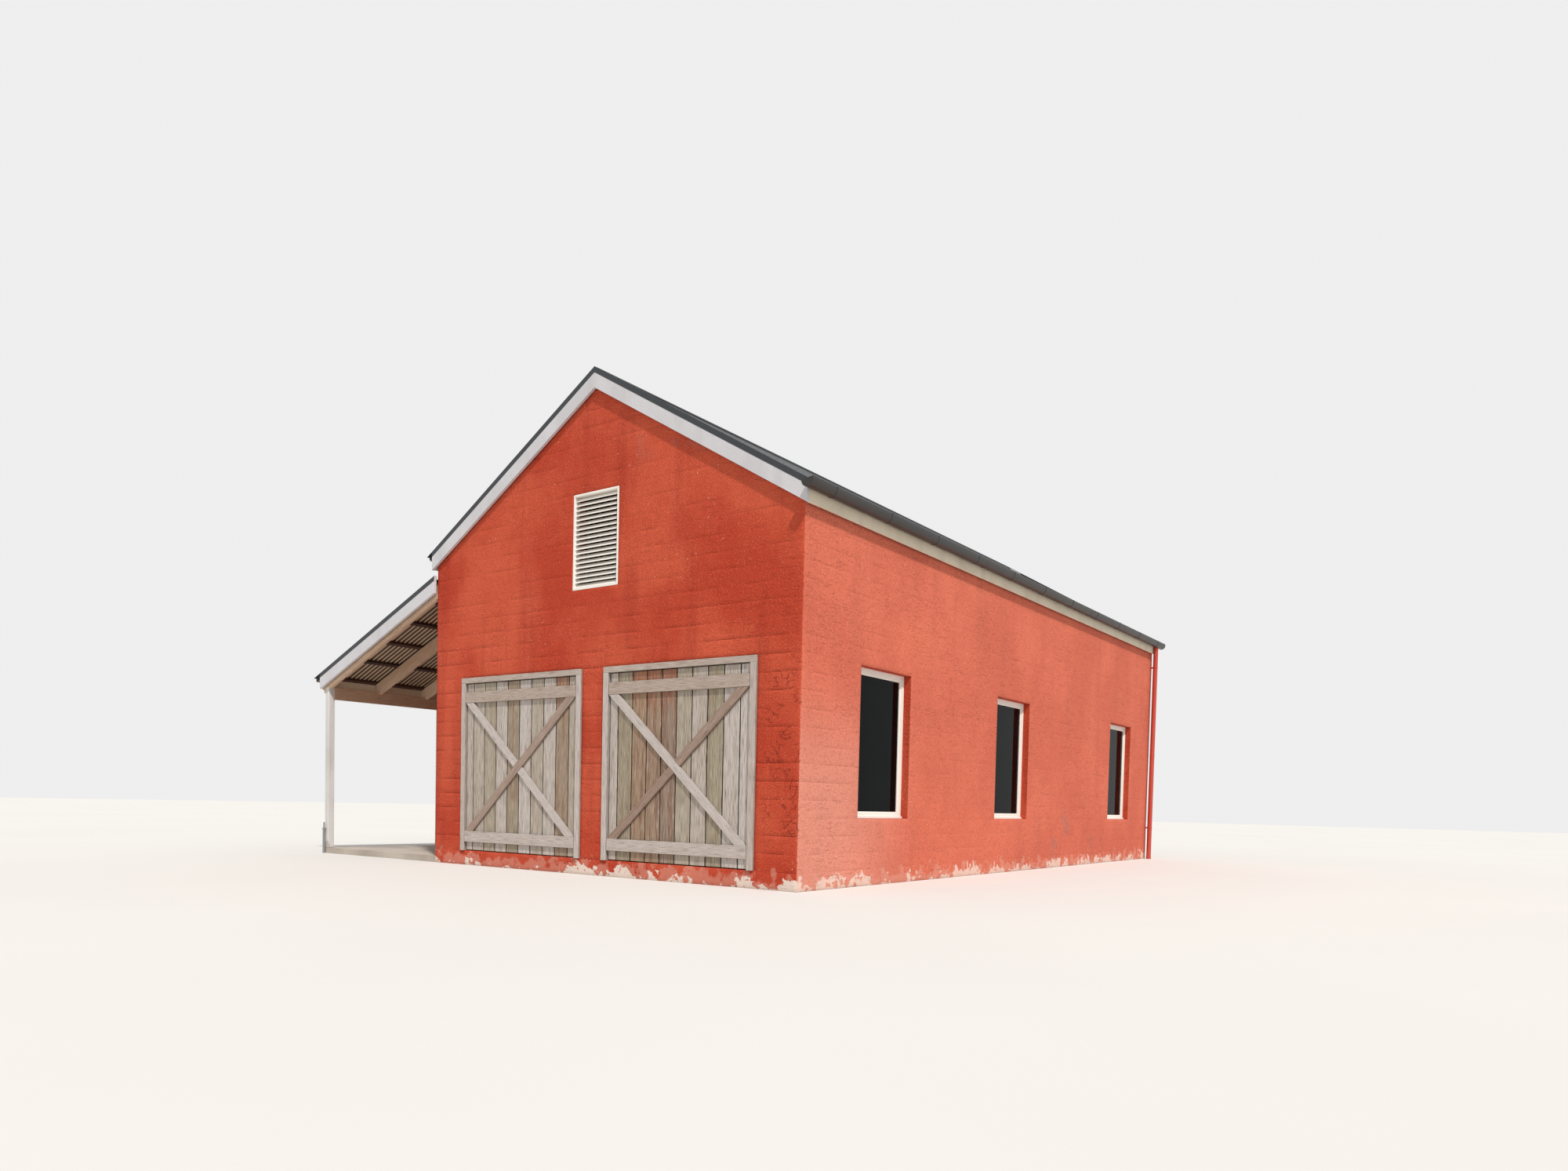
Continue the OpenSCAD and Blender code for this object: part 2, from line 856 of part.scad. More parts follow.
// The eave beam, in lengths that fit between the posts
module lean_to_beam() {
    beam_t = 45;
    bay = post_span / (posts - 1);
    color("burlywood")
    for (i = [0 : posts - 2])
        translate([-post_out + post_w - beam_t, -half_l + i * bay + post_w, beam_top - beam_d])
            cube([beam_t, bay - post_w, beam_d]);
}

// The board on the barn wall that carries the rafters' upper ends
ledger_t = 45;
ledger_d = 190;

module lean_to_ledger() {
    top = lean_h + lean_rise - ledger_t * tan(lean_pitch);
    color("burlywood")
    box([-half_w - ledger_t, -half_l, top - ledger_d], [-half_w, half_l, top]);
}

// Rafters of the lean-to, notched over the eave beam and cut plumb
module lean_to_rafters() {
    slope = tan(lean_pitch);
    n = ceil((barn_l - rafter_t) / lean_rafter_step);
    step = (barn_l - rafter_t) / n;
    color("burlywood")
    for (i = [0 : n])
        mirror([1, 0, 0])
            along_y(-half_l + i * step, -half_l + i * step + rafter_t)
                difference() {
                    translate([half_w, lean_h])
                        polygon([
                            [ledger_t, -ledger_t * slope],
                            [lean_tail, -lean_tail * slope],
                            [lean_tail, -lean_tail * slope + lean_rise],
                            [ledger_t, -ledger_t * slope + lean_rise]
                        ]);
                    translate([post_out - post_w, beam_top - lean_rise])
                        square([post_w, lean_rise]);
                }
}

module lean_to_battens() {
    n = 5;
    first = 400;
    last = lean_tail / cos(lean_pitch) - batten_w / 2 - lean_sheet_z * tan(lean_pitch);
    y = half_l + barge_gap - seat;
    color("saddlebrown")
    on_lean_slope()
        for (i = [0 : n - 1])
            translate([first + i * (last - first) / (n - 1), 0, lean_rafter_d + batten_t / 2])
                cube([batten_w, 2 * y, batten_t], center = true);
}

module lean_to_sheet() {
    color("dimgray")
    on_lean_slope() slope_sheet(lean_x0, lean_x1, sheet_y, lean_sheet_z);
}

// Folded metal that closes the joint between the lean-to and the barn wall
module lean_to_flashing() {
    z = lean_crest_z + 2 * seat + cap_t;
    lap = 120;
    up = 75;
    slope = tan(lean_pitch);
    top = lean_h + z / cos(lean_pitch);
    t = cap_t / cos(lean_pitch);
    color("dimgray")
    mirror([1, 0, 0])
        along_y(-half_l, half_l)
            polygon([
                [half_w, top], [half_w + lap, top - lap * slope],
                [half_w + lap, top - lap * slope + t],
                [half_w + cap_t, top - cap_t * slope + t],
                [half_w + cap_t, top + up], [half_w, top + up]
            ]);
}

// The pipe at the foot of the front post, with its collar and thin conduit
module post_pipe() {
    pipe_r = 20;
    collar_r = 27;
    conduit_r = 11;
    collar_z = 375;
    top = 490;
    color("gray")
    translate([-post_out + 25, -half_l - collar_r - seat, 0]) {
        cylinder(h = collar_z, r = pipe_r, $fn = 32);
        translate([0, 0, collar_z]) cylinder(h = 24, r = collar_r, $fn = 32);
        translate([0, 0, collar_z + 24]) cylinder(h = top - collar_z - 24, r = conduit_r, $fn = 32);
    }
}

floor_slab();
front_left_pier();
front_middle_pier();
front_right_pier();
front_plinth();
front_gable();
right_wall();
left_wall();
rear_wall();
vent_frames();
vent_blades();
window_frames();
window_sashes();
window_glass();
door_frames();
frame_hinges();
left_door_boards();
left_door_rails();
left_door_braces();
left_door_hinges();
right_door_boards();
right_door_rails();
right_door_braces();
right_door_hinges();
wall_plates();
rafters();
ridge_beam();
roof_battens();
left_roof_sheet();
right_roof_sheet();
ridge_cap();
barge_boards();
barge_caps();
fascias();
gutter();
gutter_brackets();
downpipe();
downpipe_clips();
lean_to_slab();
lean_to_posts();
lean_to_beam();
lean_to_ledger();
lean_to_rafters();
lean_to_battens();
lean_to_sheet();
lean_to_flashing();
post_pipe();
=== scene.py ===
# %% [markdown]
# # A red blockwork barn
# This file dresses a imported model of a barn: painted block walls, boarded doors,
# a corrugated metal roof and an open lean-to. Read it from top to bottom, as a
# notebook. Each step first says what the real thing is, and then builds it with
# numpy arrays, because a whole surface worked out at once is quick and exact.

# %% Load the fixed frame
import json
import math

import bpy
import numpy as np
from mathutils import Matrix, Vector

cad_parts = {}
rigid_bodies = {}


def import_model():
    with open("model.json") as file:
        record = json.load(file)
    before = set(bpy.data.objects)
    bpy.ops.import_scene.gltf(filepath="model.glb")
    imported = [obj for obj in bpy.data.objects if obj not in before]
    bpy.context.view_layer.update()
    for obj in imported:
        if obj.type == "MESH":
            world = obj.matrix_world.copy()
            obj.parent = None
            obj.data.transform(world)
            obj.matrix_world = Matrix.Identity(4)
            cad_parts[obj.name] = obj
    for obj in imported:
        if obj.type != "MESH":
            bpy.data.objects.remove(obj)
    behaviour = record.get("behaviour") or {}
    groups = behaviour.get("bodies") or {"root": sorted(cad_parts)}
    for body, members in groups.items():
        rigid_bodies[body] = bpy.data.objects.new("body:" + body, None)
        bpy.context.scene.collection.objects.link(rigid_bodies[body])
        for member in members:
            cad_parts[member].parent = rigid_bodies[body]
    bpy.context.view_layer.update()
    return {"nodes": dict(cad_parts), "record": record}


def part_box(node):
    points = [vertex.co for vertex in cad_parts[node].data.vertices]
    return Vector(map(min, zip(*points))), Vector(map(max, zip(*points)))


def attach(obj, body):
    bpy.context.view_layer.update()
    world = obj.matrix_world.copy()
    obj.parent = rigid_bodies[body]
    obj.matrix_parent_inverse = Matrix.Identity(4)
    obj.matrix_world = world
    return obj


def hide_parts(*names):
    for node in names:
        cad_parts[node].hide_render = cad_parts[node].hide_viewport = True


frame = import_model()
nodes = frame["nodes"]

# %% [markdown]
# ## Sizes that several steps share
# The barn's footprint is centred on the origin, with the doors at -y and the
# lean-to at -x. Every size is in metres, and a course of blocks is 0.2 m. A slope
# is its pitch in degrees and the x and z of its top edge; sheets lie above it.

# %% Name the sizes
def sin_of(degrees):
    return math.sin(math.radians(degrees))


def cos_of(degrees):
    return math.cos(math.radians(degrees))


def tan_of(degrees):
    return math.tan(math.radians(degrees))


BARN_W, BARN_L, EAVES = 6.4, 12.4, 4.2
HALF_W, HALF_L = BARN_W / 2, BARN_L / 2
COURSE = 0.2
ROOF_PITCH, LEAN_PITCH = 30, 22.5
APEX = EAVES + HALF_W * tan_of(ROOF_PITCH)
LEAN_W, LEAN_H = 2.9, 3.77
ROOF, LEAN = (ROOF_PITCH, 0, APEX), (LEAN_PITCH, HALF_W, LEAN_H)
EAVE_X, LEAN_RUN = HALF_W + 0.06, LEAN_W + 0.06
SHEET_Z, LEAN_SHEET_Z = 0.180, 0.230
BATTEN_W, BATTEN_T = 0.070, 0.040
DOOR_X0, DOOR_X1, DOOR_Z0, DOOR_Z1 = 0.2, 2.6, 0.2, 2.6
WINDOWS = ((1.2, 2.4), (5.0, 6.2), (10.0, 11.2))
WIN_Z0, WIN_Z1 = 0.8, 2.6
VENT_W, VENT_Z0, VENT_Z1 = 0.8, 3.6, 4.8
print("the ridge line is", round(APEX, 3), "m up")

# %% [markdown]
# ## The view
# The barn is seen from a little under a metre above the ground, off the corner
# between the doors and the window wall. A camera has a place, a direction and a
# lens. Its direction is given here as three turns, and a small lens shift keeps
# the walls as upright as they are in the picture.

# %% Place the camera
# a turn to the left, a rise from straight down, and a roll
YAW, RISE, ROLL = (math.radians(a) for a in (35.476, 90 - 2.162, 1.324))
lens = bpy.data.cameras.new("camera")
lens.lens = 23.759
lens.sensor_width = 36
lens.shift_x = -0.00571
lens.shift_y = 0.16395
lens.clip_end = 400
camera = bpy.data.objects.new("camera", lens)
camera.matrix_world = (
    Matrix.Translation((9.6579, -15.3561, 0.9600)) @ Matrix.Rotation(YAW, 4, "Z")
    @ Matrix.Rotation(RISE, 4, "X") @ Matrix.Rotation(ROLL, 4, "Z"))
bpy.context.scene.collection.objects.link(camera)
bpy.context.scene.camera = camera
print("camera at", tuple(camera.location), "with a lens of", lens.lens, "mm")

# %% [markdown]
# ## Helpers for shapes
# Every new surface is an array of points and an array of faces. These helpers
# turn such arrays into a mesh that rides on a body of the model. A grid is the
# commonest case: rows of points, with a face between each four neighbours.

# %% Turn arrays into a piece
scene_objects = bpy.context.scene.collection.objects
FINISHES, SLOT_OF, USUAL = {}, {}, {}


def stack(*parts):
    """Points from arrays of their x, y and z, each stretched to the same shape."""
    return np.stack(np.broadcast_arrays(*parts), -1)


def grid_faces(rows, cols, wrap=False):
    """Faces of a grid of points, numbered row by row. Point (r, c) is joined to
    (r, c + 1), (r + 1, c + 1) and (r + 1, c); wrap joins the last column to the first."""
    r = np.arange(rows - 1)[:, None]
    c = np.arange(cols if wrap else cols - 1)[None, :]
    a = r * cols + c
    b = r * cols + (c + 1) % cols
    return np.stack([a, b, b + cols, a + cols], -1).reshape(-1, 4)


def make_piece(name, points, faces, finish, replaces=(), body="barn", uv=None, values=None,
               smooth=False, sharp=None, slots=None):
    """One mesh from arrays: points (n, 3), faces as arrays of point numbers. uv holds
    a pair for each point, values a dict of one number for each point, sharp the angle
    at which smooth shading breaks, and slots the number of the finish for each face."""
    mesh = bpy.data.meshes.new(name)
    lists = [f.tolist() for f in (faces if isinstance(faces, list) else [faces])]
    mesh.from_pydata(np.asarray(points, float).tolist(), [], sum(lists, []))
    if uv is not None:
        corner = np.empty(len(mesh.loops), np.int32)
        mesh.loops.foreach_get("vertex_index", corner)
        layer = mesh.uv_layers.new(name="grain")
        layer.data.foreach_set("uv", uv[corner].astype(np.float32).ravel())
    for key, value in (values or {}).items():
        attribute = mesh.attributes.new(key, "FLOAT", "POINT")
        attribute.data.foreach_set("value", value.astype(np.float32).ravel())
    mesh.polygons.foreach_set("use_smooth", np.full(len(mesh.polygons), smooth))
    names = finish if isinstance(finish, list) else [finish]
    for n in names:
        mesh.materials.append(FINISHES[n])
    if slots is not None:
        mesh.polygons.foreach_set("material_index", np.asarray(slots, np.int32))
    mesh.update()
    if sharp:
        mesh.set_sharp_from_angle(angle=math.radians(sharp))
    piece = bpy.data.objects.new(name, mesh)
    scene_objects.link(piece)
    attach(piece, body)
    if replaces:
        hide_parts(*replaces)
    print(f"{name}: {len(mesh.vertices)} points, {len(mesh.polygons)} faces on {body}")


# %% [markdown]
# ## Helpers for materials
# A material is a small network of nodes. These helpers add a node, fill its
# inputs and hand back what it gives, which can then be added, multiplied and so
# on: each such step is one more node, so a network reads like a sum. Colours are
# written as the eye sees them, and turned into the linear light of a shader.

# %% Build node networks in few words
class Out:
    """What a node gives, in the tree that the node is in."""

    def __init__(self, socket):
        self.socket, self.tree = socket, socket.id_data

    def math(self, how, other=0.0, clamp=False):
        """One step of arithmetic by its name, such as MAXIMUM or ABSOLUTE."""
        return wire(self.tree, "Math", {0: self, 1: other}, operation=how, use_clamp=clamp)

    __add__ = lambda self, other: self.math("ADD", other)
    __sub__ = lambda self, other: self.math("SUBTRACT", other)
    __mul__ = lambda self, other: self.math("MULTIPLY", other)
    __truediv__ = lambda self, other: self.math("DIVIDE", other)
    __rtruediv__ = lambda self, other: wire(self.tree, "Math", {0: other, 1: self},
                                            operation="DIVIDE")


def put(target, value):
    """Gives an input a plain value, or a link from what another node gives."""
    if isinstance(value, Out):
        target.id_data.links.new(value.socket, target)
    else:
        target.default_value = value


def wire(tree, kind, inputs, out=0, **settings):
    """Adds a node, sets its settings, fills its inputs and returns one output."""
    n = tree.nodes.new("ShaderNode" + kind)
    for key, value in settings.items():
        setattr(n, key, value)
    for key, value in inputs.items():
        put(n.inputs[key], value)
    return Out(n.outputs[out])


def attribute(tree, name):
    """A number that the mesh carries for each point."""
    return wire(tree, "Attribute", {}, out=2, attribute_name=name)


# %% Mix colours
def paint(code):
    """A colour written as six hex digits, as linear light. Each channel above a
    small threshold is raised to the power 2.4 after a shift, as sRGB says."""
    c = np.array([int(code[i:i + 2], 16) for i in (0, 2, 4)]) / 255
    return tuple(np.where(c > 0.04045, ((c + 0.055) / 1.055) ** 2.4, c / 12.92)) + (1.0,)


def blend(share, a, b):
    """Colour a where share is 0 and colour b where it is 1."""
    a, b = (paint(c) if isinstance(c, str) else c for c in (a, b))
    return wire(share.tree, "Mix", {0: share, 6: a, 7: b}, out=2, data_type="RGBA")


def layers(colour, *coats):
    """A colour under several coats, each a share and a colour of its own."""
    for share, code in coats:
        colour = blend(share, colour, code)
    return colour


# %% Turn numbers into soft steps, colours and clouds
def fade(value, low, high, to_low=0.0, to_high=1.0):
    """A soft step: to_low where value is under low, and to_high where it is over high."""
    return wire(value.tree, "MapRange", {0: value, 1: low, 2: high, 3: to_low, 4: to_high},
                interpolation_type="SMOOTHSTEP")


def colour_line(value, codes):
    """A row of colours at equal steps from 0 to 1; value picks a place along it."""
    picked = wire(value.tree, "ValToRGB", {0: value})
    line = picked.socket.node.color_ramp
    line.elements[1].position = 1.0
    for i in range(1, len(codes) - 1):
        line.elements.new(i / (len(codes) - 1))
    for element, code in zip(line.elements, codes):
        element.color = paint(code)
    return picked


def clouds(where, size, detail, stretch=None):
    """Cloudy noise from 0 to 1 whose lumps are about size metres across; stretch
    scales the coordinates first, so a small number makes the lumps long."""
    if stretch is not None:
        where = wire(where.tree, "Mapping", {0: where, 3: stretch})
    return wire(where.tree, "TexNoise", {0: where, "Scale": 1.0 / size, "Detail": detail})


# %% Make node groups and materials
def new_group(name, inputs, outputs):
    """An empty node group: what it is given, by name, and the inputs for what it
    gives. inputs maps a name to a usual number, or to None for a vector."""
    tree = bpy.data.node_groups.new(name, "ShaderNodeTree")
    for label, value in inputs.items():
        kind = "NodeSocketVector" if value is None else "NodeSocketFloat"
        socket = tree.interface.new_socket(label, in_out="INPUT", socket_type=kind)
        if value is not None:
            socket.default_value = value
    for label in outputs:
        tree.interface.new_socket(label, in_out="OUTPUT", socket_type="NodeSocketFloat")
    given = {s.name: Out(s) for s in tree.nodes.new("NodeGroupInput").outputs}
    return tree, given, tree.nodes.new("NodeGroupOutput").inputs


def use_group(group, where, **inputs):
    """Places a group in a material, at the coordinates where; what it gives, by name."""
    n = where.tree.nodes.new("ShaderNodeGroup")
    n.node_tree = group
    put(n.inputs[0], where)
    for key, value in inputs.items():
        put(n.inputs[key], value)
    return {s.name: Out(s) for s in n.outputs}


def new_material(title, slot=None):
    """A material with a plain Principled shader, filed under its title: its tree, the
    shader's inputs and the object's coordinates. Its slot has the same name if none is
    given, and a slot's first finish is its usual one."""
    material = bpy.data.materials.new(title)
    material.use_nodes = True
    slot = slot or title.replace(" ", "_")
    FINISHES[title], SLOT_OF[title] = material, slot
    USUAL.setdefault(slot, material)
    tree = material.node_tree
    return tree, tree.nodes["Principled BSDF"].inputs, wire(tree, "TexCoord", {}, out=3)


def coat(shader, colour, roughness, height, strength, distance):
    """Gives a shader its colour, its roughness and a bump from the height."""
    put(shader["Base Color"], colour)
    put(shader["Roughness"], roughness)
    put(shader["Normal"], wire(colour.tree, "Bump", {
        "Strength": strength, "Distance": distance, "Height": height}))


# %% [markdown]
# ## Effects that several finishes share
# Paint, timber and metal all weather in the same few ways: they turn cloudy,
# rain runs down them in streaks, and splashed earth makes them paler or darker
# near the ground. Each effect is one node group, built once.

# %% Build the shared node groups
weather, given, gives = new_group("weather", {"Place": None, "Size": 1.0},
                                  ["Clouds", "Streaks", "Fine"])
place = given["Place"]
scaled = wire(weather, "VectorMath", {0: place, "Scale": 1.0 / given["Size"]}, operation="SCALE")
put(gives["Clouds"], clouds(scaled, 1.0, 5.0))
put(gives["Streaks"], fade(clouds(place, 0.3, 4.0, (1.0, 1.0, 0.12)), 0.5, 0.72))
put(gives["Fine"], clouds(place, 0.02, 3.0))

ground_splash, given, gives = new_group("ground splash", {"Place": None, "Height": 0.4}, ["Mask"])
place = given["Place"]
share = wire(ground_splash, "SeparateXYZ", {0: place}, out=2) / given["Height"]
put(gives["Mask"], fade(clouds(place, 0.16, 9.0) * 2.4 - share, 0.72, 0.95))

grain, given, gives = new_group("grain", {"Along": None, "Width": 0.006},
                                ["Lines", "Bands", "Cracks"])
along = given["Along"]
put(gives["Lines"], clouds(along, given["Width"], 5.0, (0.035, 1.0, 1.0)))
put(gives["Bands"], clouds(along, 0.05, 3.0, (0.06, 1.0, 1.0)))
put(gives["Cracks"], fade(clouds(along, 0.006, 2.0, (0.02, 1.0, 1.0)), 0.62, 0.7))
print("node groups:", [g.name for g in bpy.data.node_groups])

# %% [markdown]
# ## The finishes
# The walls were painted red over rough blockwork long ago. The paint is darker
# where rain runs down, and it has come off along the ground where salts push
# through. Where the sun falls brightest it is made paler and pinker, as painted
# light. Each joint between the blocks is darker, as painted shade in its groove:
# the wall skins carry the groove as an attribute.

# %% Finish: red paint on blockwork
def red_paint():
    """Two reds in clouds, and coats over them for each block, rain, painted sunlight, salt,
    painted shade in the joints and the trowel curls, and specks. Each coat covers the share of the
    one below that its mask gives."""
    tree, shader, place = new_material("red paint", "red_blockwork")
    x, y, z = (wire(tree, "SeparateXYZ", {0: place}, out=i) for i in range(3))
    worn = use_group(weather, place, Size=1.3)
    # each block takes the paint a little differently
    flat = wire(tree, "CombineXYZ", {0: x + y, 1: z})
    blocks = wire(tree, "TexBrick", {
        0: flat, "Color1": (0, 0, 0, 1), "Color2": (1, 1, 1, 1), "Mortar": (0.5, 0.5, 0.5, 1),
        "Scale": 1.0, "Mortar Size": 0.0, "Brick Width": 2 * COURSE, "Row Height": COURSE})
    # painted light: the window wall is made paler and pinker, as in brighter sun, most of all near
    # its front corner
    window_side = fade(x, HALF_W - 0.01, HALF_W)
    corner = fade(y, -3.4, -5.6) * fade(z, 2.6, 1.0) * window_side
    # chalky patches high on the gable, and a dull stain low on the window wall
    patch = fade(clouds(place, 0.45, 8.0), 0.55, 0.68)
    high = fade(z, 4.3, 5.2) * fade(x, 0.4, 1.4)
    damp = fade(y, 0.0, 0.8) * fade(y, 3.6, 2.6) * fade(z, 1.5, 0.5) * window_side
    # sand in the paint: grains are lighter where they stand up, as painted highlights, and darker
    # in the low spots
    sand = clouds(place, 0.016, 2.0)
    # salts lift the paint along the ground: a faded band, with white crusts in it
    faded = use_group(ground_splash, place, Height=0.34)["Mask"]
    flakes = clouds(place, 0.09, 10.0, (1.0, 1.0, 1.3))
    patchy = fade(clouds(place, 0.55, 3.0), 0.4, 0.6, 0.0, 0.3)
    crust = fade(flakes + patchy - z * 1.7, 0.56, 0.62) * fade(x, HALF_W - 0.01, HALF_W, 0.9, 0.6)
    # curls left by the trowel on the pier beside the right door; their lines are darkened as
    # painted shade
    curl = (clouds(place, 0.13, 2.0, (1.0, 1.0, 1.5)) - 0.5).math("ABSOLUTE")
    pier = (fade(x, 2.65, 2.8) * fade(z, 2.9, 2.2) * fade(z, 0.3, 0.7)
            * fade(y, 0.01 - HALF_L, -HALF_L))
    curl = fade(curl, 0.036, 0.014) * pier * fade(clouds(place, 0.2, 2.0), 0.5, 0.56)
    # pinholes and specks of filler
    dots = wire(tree, "TexVoronoi", {0: place, "Scale": 9.0, "Randomness": 1.0})
    specks = fade(dots, 0.08, 0.04) * fade(clouds(place, 0.5, 2.0), 0.5, 0.6)
    colour = layers(
        blend(fade(worn["Clouds"], 0.35, 0.68), "b63f28", "cd5a3f"),
        (blocks * 0.06, "9c2f1f"), (worn["Streaks"] * 0.35, "942c1d"),
        (window_side * 0.4, "dd8a72"), (corner * 0.35, "eab6a4"),
        ((high + damp) * patch * 0.4, "94716a"),
        (fade(sand, 0.5, 0.3, 0.0, 0.4), "8a2717"), (fade(sand, 0.55, 0.72, 0.0, 0.35), "e58567"),
        (faded * 0.5, "d29481"), (crust, "e6d8cc"), (curl * 0.5, "6d2216"),
        (attribute(tree, "joint") * 0.75, "5f1e14"), (specks * 0.6, "eed0c2"))
    # sandy render, with scratches left by the trowel
    marks = fade(clouds(place, 0.06, 2.0, (0.35, 0.35, 2.0)), 0.6, 0.66)
    rough = fade(clouds(place, 0.9, 2.0), 0.45, 0.6)
    height = sand * 0.45 + clouds(place, 0.11, 6.0) + marks * rough * 0.5 - curl * 0.5
    coat(shader, colour, 0.9, height, 0.9, 0.012)
    put(shader["Specular IOR Level"], 0.2)


red_paint()

# %% [markdown]
# Timber is the same network each time: long lines of grain, broad bands of
# colour, and fine cracks. What changes is the palette, and which way the grain
# runs. Planks made here carry their own grain map, so the grain follows each
# board; the model's own timbers are straight, so turning the coordinates is enough.

# %% Finish: timbers
AXIS_TURN = {"x": (0, 0, 0), "y": (0, 0, math.pi / 2), "slope": (0, math.radians(LEAN_PITCH), 0)}


def timber(title, slot, palette, axis=None, crack=0.25, contrast=0.4, stain=0.0, edges=0.0):
    """Grained wood. The tone of a board, from 0 to 1, picks its colour along the
    palette; the grain darkens and lightens it by the contrast, stain is how much
    the heads of the browner boards have turned rusty, and edges is how much the
    sides of the boards are darkened, as painted shade in the gaps between them."""
    tree, shader, place = new_material(title, slot)
    if axis is None:
        along, tone = wire(tree, "UVMap", {}, uv_map="grain"), attribute(tree, "tone")
    else:
        along, tone = wire(tree, "Mapping", {0: place, 2: AXIS_TURN[axis]}), clouds(place, 2.5, 1.0)
    wood = use_group(grain, along)
    bands, lines, cracks = wood["Bands"], wood["Lines"], wood["Cracks"]
    colour = colour_line(tone + fade(bands, 0.35, 0.65, -0.06, 0.06), palette)
    if stain:
        ragged = wire(tree, "SeparateXYZ", {0: place}, out=2) + fade(bands, 0.3, 0.7, -0.25, 0.25)
        colour = layers(
            colour, (fade(ragged, 1.95, 2.35) * fade(tone, 0.6, 0.8, 0.0, stain), "a8552a"),
            (fade(bands, 0.48, 0.62) * fade(tone, 0.35, 0.85, 0.12, stain), "7f583c"))
    low = use_group(ground_splash, place, Height=0.3)["Mask"]
    # painted shade: the last coat darkens the sides of the boards, as shade in the gaps between
    # them
    colour = layers(
        colour, (fade(lines, 0.55, 0.3) * contrast, "5d4c3f"),
        (fade(lines, 0.55, 0.72) * (contrast * 0.7), "e8dfd7"), (cracks * crack, "3d342b"),
        (low * 0.35, "6a5f54"), (fade(attribute(tree, "edge"), 0.2, 0.8, 0.0, edges), "2e2620"))
    coat(shader, colour, 0.8, lines - cracks, 0.5, 0.0012)


LEAN_PALETTE = ("cdaa8b", "dcbea3", "c6a284", "bb9c80")
timber("door trim", "weathered_timber", ("c8bfba", "bcafa6", "ac998b", "94796a"),
       crack=0.6, edges=0.35, contrast=0.5)
timber("door boards", "weathered_timber",
       ("c8c0ba", "bfb4ab", "b3a899", "a79d88", "9c917b", "a08c78", "a3876d", "8f7b6d"),
       crack=0.7, stain=0.6, edges=0.95, contrast=0.72)
for axis in "yx":
    timber("roof timber " + axis, "roof_timber", ("8f6d48", "bd9a6e", "7d5f40", "9a7c58"), axis)
timber("lean-to rafters", "lean_to_timber", LEAN_PALETTE, "slope")
timber("lean-to boards", "lean_to_timber", LEAN_PALETTE)
timber("brown batten", None, ("3a2117", "492a1c", "2f1b12"), crack=0.3, contrast=0.1)

# %% [markdown]
# Painted boards show their grain only faintly. Rain leaves grey streaks, and the
# paint is thin and dirty near the ground.

# %% Finish: painted timber
def painted_timber(title, slot, clean, dirty, dirt_height):
    """A clean colour that turns dirty in clouds and streaks, with faint cracks, and
    with earth splashed up to the dirt's height above the ground."""
    tree, shader, place = new_material(title, slot)
    worn = use_group(weather, place, Size=0.5)
    wood = use_group(grain, wire(tree, "UVMap", {}, uv_map="grain"), Width=0.008)
    low = use_group(ground_splash, place, Height=dirt_height)["Mask"]
    colour = layers(
        blend(fade(worn["Clouds"], 0.4, 0.75, 0.0, 0.35), clean, dirty),
        (worn["Streaks"] * 0.3, dirty), (wood["Cracks"] * 0.2, "6b6155"), (low * 0.5, "8d8272"))
    coat(shader, colour, 0.55, wood["Lines"], 0.3, 0.001)


painted_timber("off-white board", "offwhite_timber", "d0ced2", "b2afb0", 0.01)
painted_timber("cream fascia", "offwhite_timber", "ddd1bb", "b5a893", 0.01)
painted_timber("cream post", "cream_timber", "d9d7d5", "b0aaa4", 0.5)

# %% [markdown]
# Coated steel has a soft shine, dust in broad clouds and a faint grain. The
# coating is charcoal on top. The sheets are galvanised metal below, coloured warm
# brown as painted shade and bounced light, with painted shade in the hollows of
# the waves. The gutter is a darker, warmer copy of the charcoal, as painted shade.

# %% Finish: metals
def metal(title, clean, dusty, roughness, slot=None, metallic=0.0, dust=0.35, painted_hollow_shade=0.0):
    """Coated or bare metal. The last argument is how much the highest parts of a folded
    sheet, its hollows as seen from below, are darkened as painted shade: the sheets
    carry their height as an attribute, and other pieces have none."""
    tree, shader, place = new_material(title, slot)
    worn = use_group(weather, place, Size=0.8)
    mask = (fade(worn["Clouds"], 0.35, 0.75) * 0.7).math("ADD", worn["Streaks"] * 0.3, clamp=True)
    colour = layers(blend(mask * dust, clean, dusty),
                    (fade(attribute(tree, "crest"), 0.3, 0.65, 0.0, painted_hollow_shade), "2b1f16"))
    shine = fade(worn["Clouds"], 0.3, 0.7, roughness - 0.02, roughness + 0.04)
    coat(shader, colour, shine, worn["Fine"], 0.15, 0.0006)
    put(shader["Metallic"], metallic)


metal("charcoal coating", "2c2f34", "44474b", 0.45, "charcoal_sheet", dust=0.25)
# painted shade: the gutter is a darker, warmer copy of the charcoal coating, with a painted warm
# reflection
metal("gutter coating", "262320", "3d3833", 0.4, "charcoal_sheet")
# painted light: the underside is a warm brown for shade and light bounced off the red walls, with
# painted shade in its hollows
metal("galvanised underside", "c2a688", "a1866a", 0.6, "charcoal_sheet", dust=0.5, painted_hollow_shade=0.95)
metal("white aluminium", "f0ebe3", "d3ccc0", 0.38)
metal("red metal", "b8402f", "d0674f", 0.5)
metal("hinge steel", "55524e", "6a5140", 0.5, metallic=0.7)
metal("rusty nail", "4d4038", "6b4a36", 0.6, "weathered_timber", metallic=0.3)
metal("galvanised pipe", "9a9c9d", "7d7a75", 0.45, metallic=0.6)

